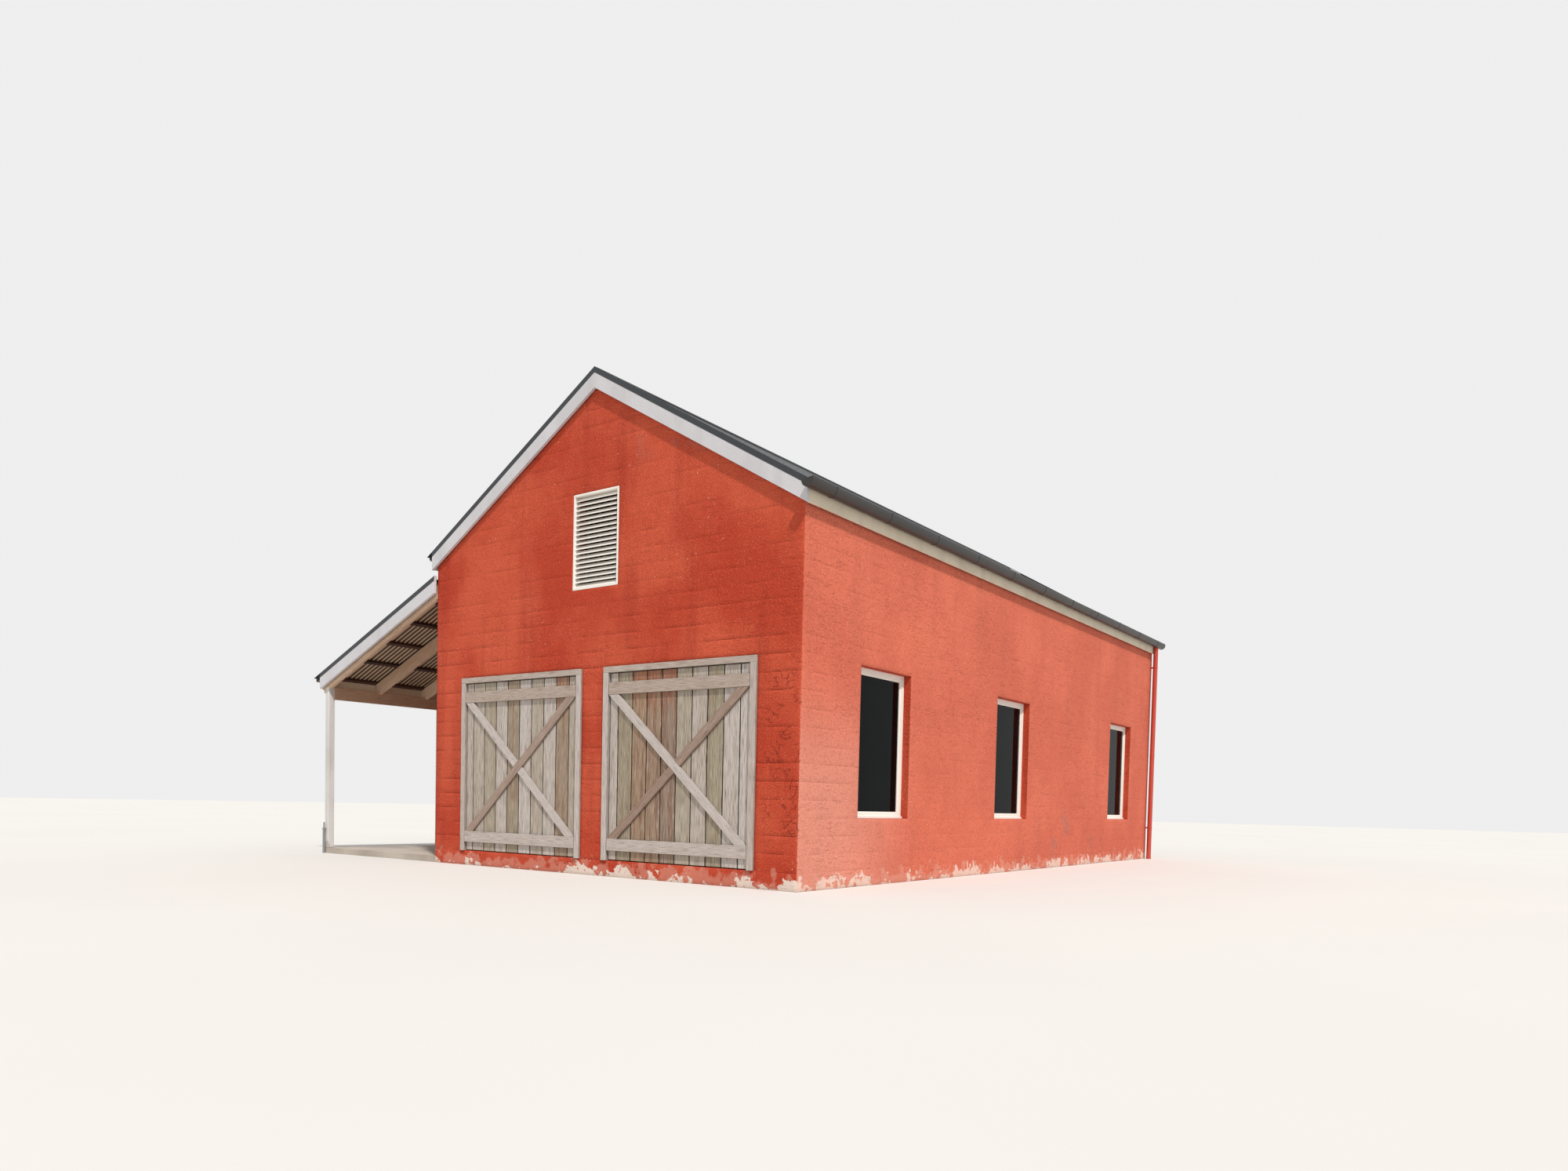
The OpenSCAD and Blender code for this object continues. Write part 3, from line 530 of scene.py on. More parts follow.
# %% [markdown]
# Panes look dark from outside, with a thin haze of dust. The studio sky is white,
# and glass of the usual index would mirror it and turn grey, so the index is low.
# The floors are plain concrete, cloudy and speckled.

# %% Finish: glass and concrete
tree, shader, place = new_material("window glass")
hazy = use_group(weather, place, Size=0.6)["Clouds"]
put(shader["Base Color"], blend(fade(hazy, 0.45, 0.8, 0.0, 0.3), "12191b", "2a332f"))
put(shader["Roughness"], fade(hazy, 0.3, 0.8, 0.02, 0.06))
put(shader["IOR"], 1.14)
put(shader["Transmission Weight"], 0.85)

tree, shader, place = new_material("floor concrete")
worn = use_group(weather, place, Size=0.9)
colour = layers(blend(fade(worn["Clouds"], 0.3, 0.7), "a1978c", "c3b8ab"),
                (fade(worn["Fine"], 0.62, 0.72, 0.0, 0.4), "6d675e"))
coat(shader, colour, 0.85, worn["Fine"], 0.3, 0.003)
print("finishes:", sorted(FINISHES))

# %% [markdown]
# ## Dress the model's own parts
# Many parts of the model already have the right shape. They keep it, and only
# take the usual finish of their slot. The rafters run across the barn, where the
# other roof timbers run along it, so their grain is turned.

# %% Give every node its finish
for part in frame["record"]["subparts"]:
    mesh = nodes[part["node"]].data
    mesh.materials.clear()
    mesh.materials.append(FINISHES["roof timber x"] if part["node"] == "rafters"
                          else USUAL[part["material_slot"]])

# %% [markdown]
# ## The wall skins
# The blocks are 190 mm high on a 10 mm joint, and each course is shifted by half
# a block of 400 mm. Paint and render have softened the joints unevenly. A skin is
# a height field: a grid over the wall's face, pushed out by a height worked out
# for each point. Its lines are close together at the joints and far apart between
# them, which keeps the faces few, and it runs thin at every edge, so that it
# closes against the wall behind.

# %% Shapes: the skin of a wall
SKIN_T, SKIN_MIN, SKIN_EDGE = 0.0055, 0.0004, 0.006
JOINT_DEPTH, SMEAR_RISE = 0.0048, 0.0014
NEAR = 0.003
rng = np.random.default_rng(41)


def module_lines(length):
    """Places along a wall: at every module line, close on both sides of it, and
    three between. The ends are kept exactly."""
    steps = np.arange(round(length / COURSE))[:, None] * COURSE
    lines = steps + np.array([0, 0.0045, 0.05, 0.1, 0.15, 0.1955])
    return np.append(lines.ravel(), length)


def drift(count, knots, low, high):
    """A smooth random value between low and high: count numbers read off a line
    through a few random knots."""
    at = np.linspace(0, knots - 1, count)
    table = rng.uniform(low, high, knots + 1)
    i = np.minimum(at.astype(int), knots - 1)
    f = (1 - np.cos((at - i) * np.pi)) / 2
    return table[i] * (1 - f) + table[i + 1] * f


def skin_height(u, z, depth):
    """Height of the render over the wall: slow waves and a smear over each bed joint,
    minus a groove at each bed joint and a fainter one at each upright joint. Joints
    are as deep as chance makes them, scaled by depth. Returns the grooves as well."""
    row, col = (np.rint(v / COURSE).astype(int) for v in (z, u))
    course = np.floor(z / COURSE + 1e-6).astype(int)
    above = z - row * COURSE
    at_upright = (np.abs(u - col * COURSE) < NEAR) & ((col + course) % 2 == 0)
    across = u.shape[1]
    beds = np.stack([drift(across, across // 9, -0.15, 1.1) for _ in range(row.max() + 1)])
    bed_depth = np.maximum(beds[row, np.arange(across)], 0)
    uprights = np.maximum(rng.uniform(-0.8, 0.4, (row.max() + 2, col.max() + 2)), 0)
    groove = (np.where(np.abs(above) < NEAR, bed_depth, 0)
              + np.where(at_upright, uprights[course, col], 0))
    groove = np.minimum(groove, 1) * depth
    smear = np.where((above > NEAR) & (above < 0.02), bed_depth, 0) * depth
    waves = (0.0006 * np.sin(u * 2.3 + 1.7 * np.sin(z * 1.9)) + 0.0005 * np.sin(z * 3.1 + u * 1.1)
             + 0.0004 * np.sin(u * 7.9 - z * 5.3) + rng.uniform(-0.0006, 0.0006, u.shape))
    return SKIN_T + waves + SMEAR_RISE * smear - JOINT_DEPTH * groove, groove


def wall_skin(label, length, top, holes, place, side, depth, under=None):
    """A skin of the given length and height. holes lists (u0, u1, z0, z1) left open,
    under(u) gives a slope that the skin stays below, depth(u, z) is how deep the
    joints are, and place(u, z, h) turns places on the wall and heights out of it
    into points, which side -1 takes to the opposite wall."""
    u, z = np.meshgrid(module_lines(length), module_lines(top))
    height, groove = skin_height(u, z, depth(u, z))
    mid_u, mid_z = ((v[:-1, :-1] + v[1:, 1:]) / 2 for v in (u, z))
    keep_face = np.ones(mid_u.shape, bool)
    edge = np.minimum(np.minimum(u, length - u), np.minimum(z, top - z))
    for u0, u1, z0, z1 in holes:
        keep_face &= ~((mid_u > u0) & (mid_u < u1) & (mid_z > z0) & (mid_z < z1))
        outside = np.maximum(np.maximum(u0 - u, u - u1), np.maximum(z0 - z, z - z1))
        edge = np.minimum(edge, np.maximum(outside, 0))
    if under is not None:
        keep_face &= mid_z < under(mid_u)
    share = np.clip(edge / SKIN_EDGE, 0, 1)
    height = SKIN_MIN + (height - SKIN_MIN) * share
    faces = grid_faces(*u.shape)[keep_face.ravel()]
    used, faces = np.unique(faces, return_inverse=True)
    points = place(*(v.ravel()[used] for v in (u, z, height))) * (side, side, 1)
    # the joint value is the depth of each groove, which the red paint darkens as painted shade
    make_piece("wall_skin_" + label, points, faces.reshape(-1, 4), "red paint", smooth=True,
               values={"joint": (groove * share).ravel()[used]})


GABLE_TOP = 6.2
doors = [(HALF_W + a, HALF_W + b, DOOR_Z0, DOOR_Z1)
         for a, b in ((-DOOR_X1, -DOOR_X0), (DOOR_X0, DOOR_X1))]
vent = (HALF_W - VENT_W / 2, HALF_W + VENT_W / 2, VENT_Z0, VENT_Z1)
windows = [(a, b, WIN_Z0, WIN_Z1) for a, b in WINDOWS]
mirrored = [(BARN_L - b, BARN_L - a, WIN_Z0, WIN_Z1) for a, b in WINDOWS]
ledger = (-1, BARN_L + 1, 3.6, 4.15)
on_gable = lambda u, z, h: stack(u - HALF_W, -HALF_L - h, z)
on_long_wall = lambda u, z, h: stack(HALF_W + h, u - HALF_L, z)


def under_rake(u):
    """The slope of the roof over a gable, just above the top of its wall."""
    return APEX + 0.1 - np.abs(u - HALF_W) * tan_of(ROOF_PITCH)


# joints show most low on the front, and least on the window wall
wall_skin("front", BARN_W, GABLE_TOP, doors + [vent], on_gable, 1,
          lambda u, z: np.interp(z, [2.5, 3.4], [0.9, 0.38]), under_rake)
wall_skin("rear", BARN_W, GABLE_TOP, [vent], on_gable, -1, lambda u, z: 0.6, under_rake)
wall_skin("right", BARN_L, EAVES, windows, on_long_wall, 1,
          lambda u, z: np.interp(u, [0.8, 2.0], [0.4, 0.2]))
wall_skin("left", BARN_L, EAVES, mirrored + [ledger], on_long_wall, -1, lambda u, z: 0.55)

# %% [markdown]
# ## Planks
# A sawn plank has four long edges and a thickness. Here it is a patch between
# two edges in space, thickened along one direction. The rounded section is
# carried along it, drawn in a little at both ends. Because only the edges are
# given, the same shape makes a straight board, a mitred frame or a brace that
# is cut on the slant, and each plank gets its own tone and stretch of grain.

# %% Shapes: planks
def planks(name, edges, depth, finish, replaces, body="barn", arris=0.003, seed=1, tone=None):
    """Bevelled planks in one mesh. edges is (n, 4, 3): start and end of one long
    edge, then of the other, all on the back face; depth is the thickness, as one
    vector for all or one for each. A point is edge a plus a share across to edge b
    plus a share of the depth; the shares run round a rectangle with its corners
    cut off by the arris."""
    edges = np.asarray(edges, float)
    n = len(edges)
    depth = np.broadcast_to(np.asarray(depth, float), (n, 3))
    if tone is None:
        tone = np.random.default_rng(seed).uniform(0, 1, n)
    a0, a1, b0, b1 = (edges[:, i] for i in range(4))
    length = np.linalg.norm((a1 + b1 - a0 - b0) / 2, axis=1)
    width = np.linalg.norm((b0 + b1 - a0 - a1) / 2, axis=1)
    thick = np.linalg.norm(depth, axis=1)
    ex, ey, ez = arris / width, arris / thick, arris / length
    side = np.array([(1, 1), (1, 1), (-1, 1), (-1, 1), (-1, -1), (-1, -1), (1, -1), (1, -1)])
    cut_x = np.array([0, 1, 1, 0, 0, 1, 1, 0])
    across = side[:, 0] * (0.5 - ex[:, None] * cut_x)
    through = side[:, 1] * (0.5 - ey[:, None] * (1 - cut_x))
    s = np.stack([0 * ez, ez, 0 * ez + 1 / 3, 0 * ez + 2 / 3, 1 - ez, 0 * ez + 1], 1)
    at_end = np.array([1, 0, 0, 0, 0, 1])[:, None]
    across = across[:, None] * (1 - 2 * ex[:, None, None] * at_end)
    through = through[:, None] * (1 - 2 * ey[:, None, None] * at_end)
    a = a0[:, None] + (a1 - a0)[:, None] * s[:, :, None]
    b = b0[:, None] + (b1 - b0)[:, None] * s[:, :, None]
    points = (a[:, :, None] + (b - a)[:, :, None] * (0.5 + across[..., None])
              + depth[:, None, None] * (0.5 + through[..., None]))
    rows, cols = points.shape[1:3]
    normal = np.cross(a1 - a0 + b1 - b0, b0 - a0 + b1 - a1)
    turned = np.einsum("ij,ij->i", normal, depth)[:, None, None] > 0
    start = (np.arange(n) * rows * cols)[:, None, None]
    cap = np.arange(cols)
    ends = np.stack([cap[::-1], cap + (rows - 1) * cols])
    faces = [(np.where(turned, f[:, ::-1], f) + start).reshape(-1, f.shape[1])
             for f in (grid_faces(rows, cols, wrap=True), ends)]
    apart = np.arange(n)[:, None] * 3.7
    grain_u = s * length[:, None] + apart
    grain_v = across * width[:, None, None] + through * thick[:, None, None] + apart[..., None]
    # the edge value is 1 on each plank's sides, which the door finishes darken as painted shade in
    # the gaps
    make_piece(name, points.reshape(-1, 3), faces, finish, replaces, body,
               uv=stack(grain_u[:, :, None], grain_v).reshape(-1, 2),
               values={"tone": np.repeat(tone, rows * cols),
                       "edge": np.tile(1.0 - cut_x, n * rows)})


def board(x0, x1, z0, z1, y):
    """The four corners of an upright or level board in the plane at y, with its
    grain along the longer side."""
    if z1 - z0 > x1 - x0:
        return [(x0, y, z0), (x0, y, z1), (x1, y, z0), (x1, y, z1)]
    return [(x0, y, z0), (x1, y, z0), (x0, y, z1), (x1, y, z1)]


def along_y(x, y0, y1, z0, z1):
    """The four corners of a level board in the plane at x."""
    return [(x, y0, z0), (x, y1, z0), (x, y0, z1), (x, y1, z1)]


def flipped(places, side):
    """The same places on the other side of the barn: every x changes sign."""
    return np.asarray(places, float) * (side, 1, 1)


# %% [markdown]
# ## The doors
# Each leaf is ten upright boards, narrow at both sides and wide between, held
# by a rail near the head, a rail near the foot and two crossed braces. One
# brace runs through from the head of the free edge to the foot of the hinge
# edge, and the other is cut in two where they cross.

# %% Build both leaves and their frames
FRONT = -6.230
BOARD_FRONT, BOARD_BACK = -6.198, -6.170
LEAF_X0, LEAF_X1 = 0.300, 2.504
LEAF_Z, LEAF_H = 0.212, 2.305
RAIL_W = 0.148
RAIL_FOOT = LEAF_Z + 0.113
RAIL_HEAD = LEAF_Z + LEAF_H - 0.115 - RAIL_W
BRACE_W, BRACE_T, BRACE_CLEAR = 0.105, 0.028, 0.0008
EDGE_BOARD, WIDE_BOARD, BOARD_GAP = 0.142, 0.240, 0.011
STILE_W, HEAD_W, FRAME_T = 0.088, 0.075, 0.060


def through_brace():
    """The four corners of the brace that runs through, cut level at both rails."""
    z0, z1 = RAIL_FOOT + RAIL_W, RAIL_HEAD
    run = BRACE_W * math.hypot(LEAF_X1 - LEAF_X0, z1 - z0) / (z1 - z0)
    y = BOARD_FRONT
    return [(LEAF_X1 - run, y, z0), (LEAF_X0, y, z1), (LEAF_X1, y, z0), (LEAF_X0 + run, y, z1)]


def meet(p, q, r, s, gap):
    """The point on line p q where line r s crosses it in the plane of the door, moved
    on by a gap. Two lines meet where both hold, which gives two equations."""
    m = np.array([[q[0] - p[0], r[0] - s[0]], [q[2] - p[2], r[2] - s[2]]])
    t = np.linalg.solve(m, [r[0] - p[0], r[2] - p[2]])[0]
    return p + (q - p) * (t + gap)


def cut_braces():
    """The other brace, mirrored from the first and cut where the first one's edges
    cross its own."""
    a0, a1, b0, b1 = np.array(through_brace())
    c0, c1, d0, d1 = (p * (-1, 1, 1) + (LEAF_X0 + LEAF_X1, 0, 0) for p in (b0, b1, a0, a1))
    return [[c0, meet(c0, c1, a0, a1, -BRACE_CLEAR), d0, meet(d0, d1, a0, a1, -BRACE_CLEAR)],
            [meet(c0, c1, b0, b1, BRACE_CLEAR), c1, meet(d0, d1, b0, b1, BRACE_CLEAR), d1]]


board_x = np.cumsum([0, EDGE_BOARD] + [WIDE_BOARD] * 8 + [EDGE_BOARD])
board_x = LEAF_X0 + board_x * (LEAF_X1 - LEAF_X0) / board_x[-1]
# how each board has aged, from the free edge out: pale grey at 0, olive half way, brown at 1
BOARD_TONE = {"left": [0.30, 0.72, 0.10, 0.28, 0.02, 0.64, 0.12, 0.36, 0.24, 0.20],
              "right": [0.15, 0.55, 0.88, 0.92, 0.99, 0.36, 0.20, 0.50, 0.08, 0.02]}
BRACE_TONE = {"left": [0.8, 0.0, 0.05], "right": [0.05, 0.95, 0.9]}
leaf = [board(a + BOARD_GAP / 2, b - BOARD_GAP / 2, LEAF_Z, LEAF_Z + LEAF_H, BOARD_BACK)
        for a, b in zip(board_x[:-1], board_x[1:])]
rails = [board(LEAF_X0, LEAF_X1, z, z + RAIL_W, BOARD_FRONT) for z in (RAIL_FOOT, RAIL_HEAD)]
braces = [through_brace()] + cut_braces()
for side, label in ((-1, "left"), (1, "right")):
    door = label + "_door"
    planks(door + "_planks", flipped(leaf, side), (0, BOARD_FRONT - BOARD_BACK, 0),
           "door boards", [door + "_boards"], door, 0.0045, tone=BOARD_TONE[label])
    planks(door + "_rail_planks", flipped(rails, side), (0, FRONT - BOARD_FRONT, 0),
           "door trim", [door + "_rails"], door, tone=[0.2, 0.55])
    planks(door + "_brace_planks", flipped(braces, side), (0, -BRACE_T, 0),
           "door trim", [door + "_braces"], door, tone=BRACE_TONE[label])

stile_top, frame_back = DOOR_Z1 - HEAD_W, FRONT + FRAME_T
parts = [board(DOOR_X0, DOOR_X0 + STILE_W, DOOR_Z0, stile_top, frame_back),
         board(DOOR_X1 - STILE_W, DOOR_X1, DOOR_Z0, stile_top, frame_back),
         board(DOOR_X0, DOOR_X1, stile_top, DOOR_Z1, frame_back)]
planks("door_frame_planks", np.concatenate([flipped(parts, side) for side in (-1, 1)]),
       (0, -FRAME_T, 0), "door trim", ["door_frames"], tone=[0.1, 0.3, 0.45] * 2)

# %% [markdown]
# ## The roof sheets
# Corrugated sheet is a sine wave carried down the slope. Each sheet covers ten
# waves and laps half a wave over its neighbour, and the lap shows as a small
# step. The sheets are made as a top skin and a bottom skin, because the two
# sides have different finishes: charcoal above, and below a galvanised finish
# with painted warm shade and painted shade in its hollows.

# %% Build the three roof planes
WAVE, WAVE_DEPTH, WAVE_POINTS = 0.076, 0.0135, 8
WAVES_PER_SHEET, LAP = 10, 0.55
SHEET_T, SHEET_SEAT = 0.0012, 0.0006
SHEET_HALF = HALF_L + 0.0247
WAVES = round(2 * SHEET_HALF / WAVE)
RIDGE_GAP, WALL_GAP = 0.06, 0.025
RIGHT_EDGE, LEFT_EDGE, LEAN_EDGE = 3.33, 3.37, LEAN_RUN + 0.17


def slope_point(x, y, z, slope, side):
    """A point x down the slope, y along it and z out of it, on side 1 or -1."""
    pitch, top_x, top_z = slope
    c, s = cos_of(pitch), sin_of(pitch)
    return stack(side * (top_x + x * c + z * s), y, top_z - x * s + z * c)


def down_slope(x, z, pitch):
    """How far down a slope a point z above it is, when it is x out from the top edge."""
    return (x - z * sin_of(pitch)) / cos_of(pitch)


def corrugated_roof(name, node, x0, x1, z0, slope, side):
    """Lapped sheets from x0 to x1 down the slope. Height is a cosine of the place
    along the eave, plus a step that rises from nothing to a little over one thickness
    along each sheet's first wave, so that its far edge lies on the next sheet."""
    points, faces, slots, crest, base = [], [], [], [], 0
    xs = np.linspace(x0, x1, 5)
    for first in range(0, WAVES, WAVES_PER_SHEET):
        last = min(first + WAVES_PER_SHEET + LAP, WAVES)
        k = np.linspace(first, last, int(round((last - first) * WAVE_POINTS)) + 1)
        wave = (1 - np.cos(2 * np.pi * k)) / 2
        lift = SHEET_T * 1.15 * np.clip((k - first) / 1.2, 0, 1)
        x, y = np.meshgrid(xs, k * 2 * SHEET_HALF / WAVES - SHEET_HALF, indexing="ij")
        grid = grid_faces(*x.shape)
        for layer, rise in enumerate((SHEET_T, 0.0)):
            z = z0 + SHEET_SEAT + WAVE_DEPTH * wave + lift + rise
            points.append(slope_point(x, y, z, slope, side).reshape(-1, 3))
            up = (side > 0) == (layer == 0)
            faces.append((grid if up else grid[:, ::-1]) + base)
            slots.append(np.full(len(grid), layer))
            crest.append(np.tile(wave, len(xs)))
            base += x.size
    # crest is each point's height in its wave: the underside finish darkens the highest points, its
    # hollows seen from below, as painted shade
    make_piece(name, np.concatenate(points), np.concatenate(faces),
               ["charcoal coating", "galvanised underside"], [node], smooth=True,
               slots=np.concatenate(slots), values={"crest": np.concatenate(crest)})


for side, label, edge_x in ((1, "right", RIGHT_EDGE), (-1, "left", LEFT_EDGE)):
    corrugated_roof(label + "_roof_corrugated", label + "_roof_sheet", RIDGE_GAP,
                    down_slope(edge_x, SHEET_Z, ROOF_PITCH), SHEET_Z, ROOF, side)
corrugated_roof("lean_to_corrugated", "lean_to_sheet",
                WALL_GAP - LEAN_SHEET_Z * tan_of(LEAN_PITCH),
                down_slope(LEAN_EDGE, LEAN_SHEET_Z, LEAN_PITCH), LEAN_SHEET_Z, LEAN, -1)

# %% [markdown]
# Nails hold the rails and braces to the boards, two in each board. A nail head
# is a low dome: rings of points around an axis, drawn in towards the top. All
# the heads of one leaf are one mesh, because there are over seventy of them.

# %% Shapes: domed heads, and the nails of both leaves
def heads(name, points, out, radius, height, finish, body="barn", sides=8):
    """Domes at many points. Each is three rings of points, at -0.1, 0.55 and 1 of the
    height and at 1, 0.9 and 0.5 of the radius."""
    points, out = np.asarray(points, float), np.asarray(out, float)
    first = np.cross(out, (0.31, 0.17, 0.93))
    first /= np.linalg.norm(first)
    second = np.cross(out, first)
    turn = np.arange(sides) * 2 * np.pi / sides
    ring = np.cos(turn)[:, None] * first + np.sin(turn)[:, None] * second
    levels = [(1.0, -0.1), (0.9, 0.55), (0.5, 1.0)]
    dome = np.concatenate([ring * radius * r + out * height * h for r, h in levels])
    start = (np.arange(len(points)) * len(dome))[:, None, None]
    cap = np.arange(sides)
    caps = np.stack([cap[::-1], cap + 2 * sides])
    faces = [(f + start).reshape(-1, f.shape[1]) for f in (grid_faces(3, sides, wrap=True), caps)]
    make_piece(name, (points[:, None] + dome).reshape(-1, 3), faces, finish, body=body, smooth=True)


NAIL_R, NAIL_H = 0.0042, 0.0016
# across from the middle of a board, and up from the foot of a rail or the line of a brace
RAIL_NAILS, BRACE_NAILS = ((-0.022, 0.040), (0.026, 0.108)), ((-0.02, 0.012), (0.02, -0.016))
board_mids = (board_x[:-1] + board_x[1:]) / 2
spots = [(x + dx, FRONT, z + dz) for x in board_mids for z in (RAIL_FOOT, RAIL_HEAD)
         for dx, dz in RAIL_NAILS]
low, high = RAIL_FOOT + RAIL_W, RAIL_HEAD
for x in board_mids[1:-1]:
    climb = (x - LEAF_X0) / (LEAF_X1 - LEAF_X0) * (high - low)
    spots += [(x + dx, BOARD_FRONT - BRACE_T, z + dz) for z in (low + climb, high - climb)
              for dx, dz in BRACE_NAILS]
for side, label in ((-1, "left"), (1, "right")):
    heads(label + "_door_nails", flipped(spots, side), (0, -1, 0), NAIL_R, NAIL_H,
          "rusty nail", label + "_door")

# %% [markdown]
# ## Barge boards and fascias
# Broad painted boards close the ends of the roof. Two meet at the ridge, where
# both are cut upright, and they are cut upright again over the eaves. Fascia
# boards run along under the edges of the sheets.

# %% Build the painted boards of the roof
BARGE_T, BARGE_GAP, BARGE_D, LEAN_BARGE_UP = 0.040, 0.025, 0.222, 0.065
FASCIA_T, FASCIA_DROP, LEAN_FASCIA_H, UNDER_SHEET = 0.025, 0.027, 0.190, 0.002
HALF_GAP = 0.001


def over_slope(x, out, slope):
    """Height of the line that runs out above a slope, at x from its top edge."""
    return slope[2] - x * tan_of(slope[0]) + out / cos_of(slope[0])


def barge(end_x, out, slope, y):
    """Corners of a board that falls from the top edge to end_x with upright ends, and
    whose foot runs out above the slope."""
    pairs = [(x, z + up) for up in (0, BARGE_D / cos_of(slope[0]))
             for x, z in ((x, over_slope(x, out, slope)) for x in (HALF_GAP, end_x))]
    return [(slope[1] + x, y, z) for x, z in pairs]


boards, depths = [], []
for end in (-1, 1):
    y = end * (HALF_L + BARGE_GAP)
    main, lean = barge(EAVE_X, 0, ROOF, y), barge(LEAN_RUN, LEAN_BARGE_UP, LEAN, y)
    boards += [main, flipped(main, -1), flipped(lean, -1)]
    depths += [(0, end * BARGE_T, 0)] * 3
planks("barge_planks", boards, depths, "off-white board", ["barge_boards"], seed=8)

fascia_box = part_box("fascias")
top = over_slope(EAVE_X, SHEET_Z, ROOF) - UNDER_SHEET
lean_top = over_slope(LEAN_RUN, LEAN_SHEET_Z, LEAN) - UNDER_SHEET
runs = [(EAVE_X, EAVES - FASCIA_DROP, top), (-EAVE_X, EAVES - FASCIA_DROP, top),
        (-HALF_W - LEAN_RUN, lean_top - LEAN_FASCIA_H, lean_top)]
# three lengths along each eave, 2 mm apart where they meet
lengths = ((fascia_box[0].y, -2.001), (-1.999, 2.099), (2.101, fascia_box[1].y))
planks("fascia_planks", [along_y(x, *ys, z0, z1) for x, z0, z1 in runs for ys in lengths],
       [(-math.copysign(FASCIA_T, x), 0, 0) for x, _, _ in runs for _ in lengths],
       "cream fascia", ["fascias"], arris=0.002, seed=9)

# %% [markdown]
# ## The lean-to
# Seven square posts carry a beam along the eave. The beam is in lengths between
# the posts, and bolts with broad washers hold it. Dark battens lie across the
# rafters, under the sheets.

# %% Build the posts, the beam and the battens of the lean-to
POST_W, POSTS, SLAB_H = 0.100, 7, 0.085
BEAM_H, BEAM_T, BEAM_UP = 0.200, 0.045, 0.040
LEDGER_H, LEDGER_T, RAFTER_TOP = 0.190, 0.045, 0.190
SEAT = 0.0003
BATTENS, FIRST_BATTEN, LEAN_FIRST_BATTEN = 5, 0.09, 0.4
BOLT_R, BOLT_H, BOLT_ASIDE, BOLT_DROPS, PROUD = 0.016, 0.009, 0.045, (0.055, 0.145), 0.0002
beam_top = LEAN_H - (LEAN_W - POST_W) * tan_of(LEAN_PITCH) + BEAM_UP
bay = (BARN_L - POST_W) / (POSTS - 1)
post_y = -HALF_L + np.arange(POSTS) * bay
out_x = -(HALF_W + LEAN_W)
beam_x = out_x + POST_W
posts = [[(out_x, y, z) for y in (y0, y0 + POST_W) for z in (SLAB_H, beam_top)] for y0 in post_y]
planks("lean_to_post_timbers", posts, (POST_W, 0, 0), "cream post", ["lean_to_posts"],
       arris=0.005, seed=12)
planks("lean_to_beam_timbers",
       [along_y(beam_x, y + POST_W, y + bay, beam_top - BEAM_H, beam_top) for y in post_y[:-1]],
       (-BEAM_T, 0, 0), "lean-to boards", ["lean_to_beam"], arris=0.004, seed=13)
ledger_top = over_slope(LEDGER_T, RAFTER_TOP - SEAT, LEAN)
planks("lean_to_ledger_boards",
       [along_y(-HALF_W, y0, y1, ledger_top - LEDGER_H, ledger_top)
        for y0, y1 in ((-HALF_L, -2.0), (-1.998, 2.2), (2.202, HALF_L))],
       (-LEDGER_T, 0, 0), "lean-to boards", ["lean_to_ledger"], arris=0.002, seed=14)

lean_batten_x = np.linspace(
    LEAN_FIRST_BATTEN, down_slope(LEAN_RUN - FASCIA_T, LEAN_SHEET_Z, LEAN_PITCH) - BATTEN_W / 2,
    BATTENS)
half = HALF_L + BARGE_GAP - SEAT
laid = [[slope_point(x + dx, y, RAFTER_TOP, LEAN, -1)
         for dx in (-BATTEN_W / 2, BATTEN_W / 2) for y in (-half, half)] for x in lean_batten_x]
batten_up = slope_point(0, 0, BATTEN_T, LEAN, -1) - slope_point(0, 0, 0, LEAN, -1)
planks("lean_to_batten_timbers", laid, batten_up, "brown batten", ["lean_to_battens"], seed=15)
bolts = [(beam_x + PROUD, y + dy, beam_top - dz) for y in post_y[1:-1]
         for dy in (-BOLT_ASIDE, POST_W + BOLT_ASIDE) for dz in BOLT_DROPS]
heads("lean_to_bolts", bolts, (1, 0, 0), BOLT_R, BOLT_H, "galvanised pipe", sides=6)

# %% [markdown]
# ## Windows and vents
# The window frames are white extrusions, mitred at the corners: each side is a
# plank whose ends are cut on the slant, from the outer corner to the inner one.

# %% Build the window frames, the sashes and the sills
def mitred(x, y0, y1, z0, z1, face):
    """Four sides of a frame in the plane at x, from the outer rectangle to one that
    is smaller by the face width."""
    outer = np.array([(x, y0, z0), (x, y1, z0), (x, y1, z1), (x, y0, z1)])
    inner = np.array([(x, y0 + face, z0 + face), (x, y1 - face, z0 + face),
                      (x, y1 - face, z1 - face), (x, y0 + face, z1 - face)])
    return [[outer[i], outer[(i + 1) % 4], inner[i], inner[(i + 1) % 4]] for i in range(4)]


WIN_T, WIN_FACE, WIN_REVEAL = 0.060, 0.056, 0.100
SASH_T, SASH_FACE, SASH_IN = 0.034, 0.028, 0.012
SILL_H, SILL_OUT = 0.028, 0.0218
WIN_X = HALF_W - WIN_REVEAL - WIN_T
frames, sashes, sills = [], [], []
for side in (-1, 1):
    for y0, y1 in (np.array(WINDOWS) - HALF_L):
        frames += mitred(side * WIN_X, y0, y1, WIN_Z0, WIN_Z1, WIN_FACE)
        sashes += mitred(side * (WIN_X + SASH_IN), y0 + WIN_FACE, y1 - WIN_FACE,
                         WIN_Z0 + WIN_FACE, WIN_Z1 - WIN_FACE, SASH_FACE)
        sills.append(along_y(side * (WIN_X + WIN_T + 0.0001), y0, y1, WIN_Z0, WIN_Z0 + SILL_H))
outward = np.array([(side, 0, 0) for side in (-1, 1) for _ in WINDOWS])
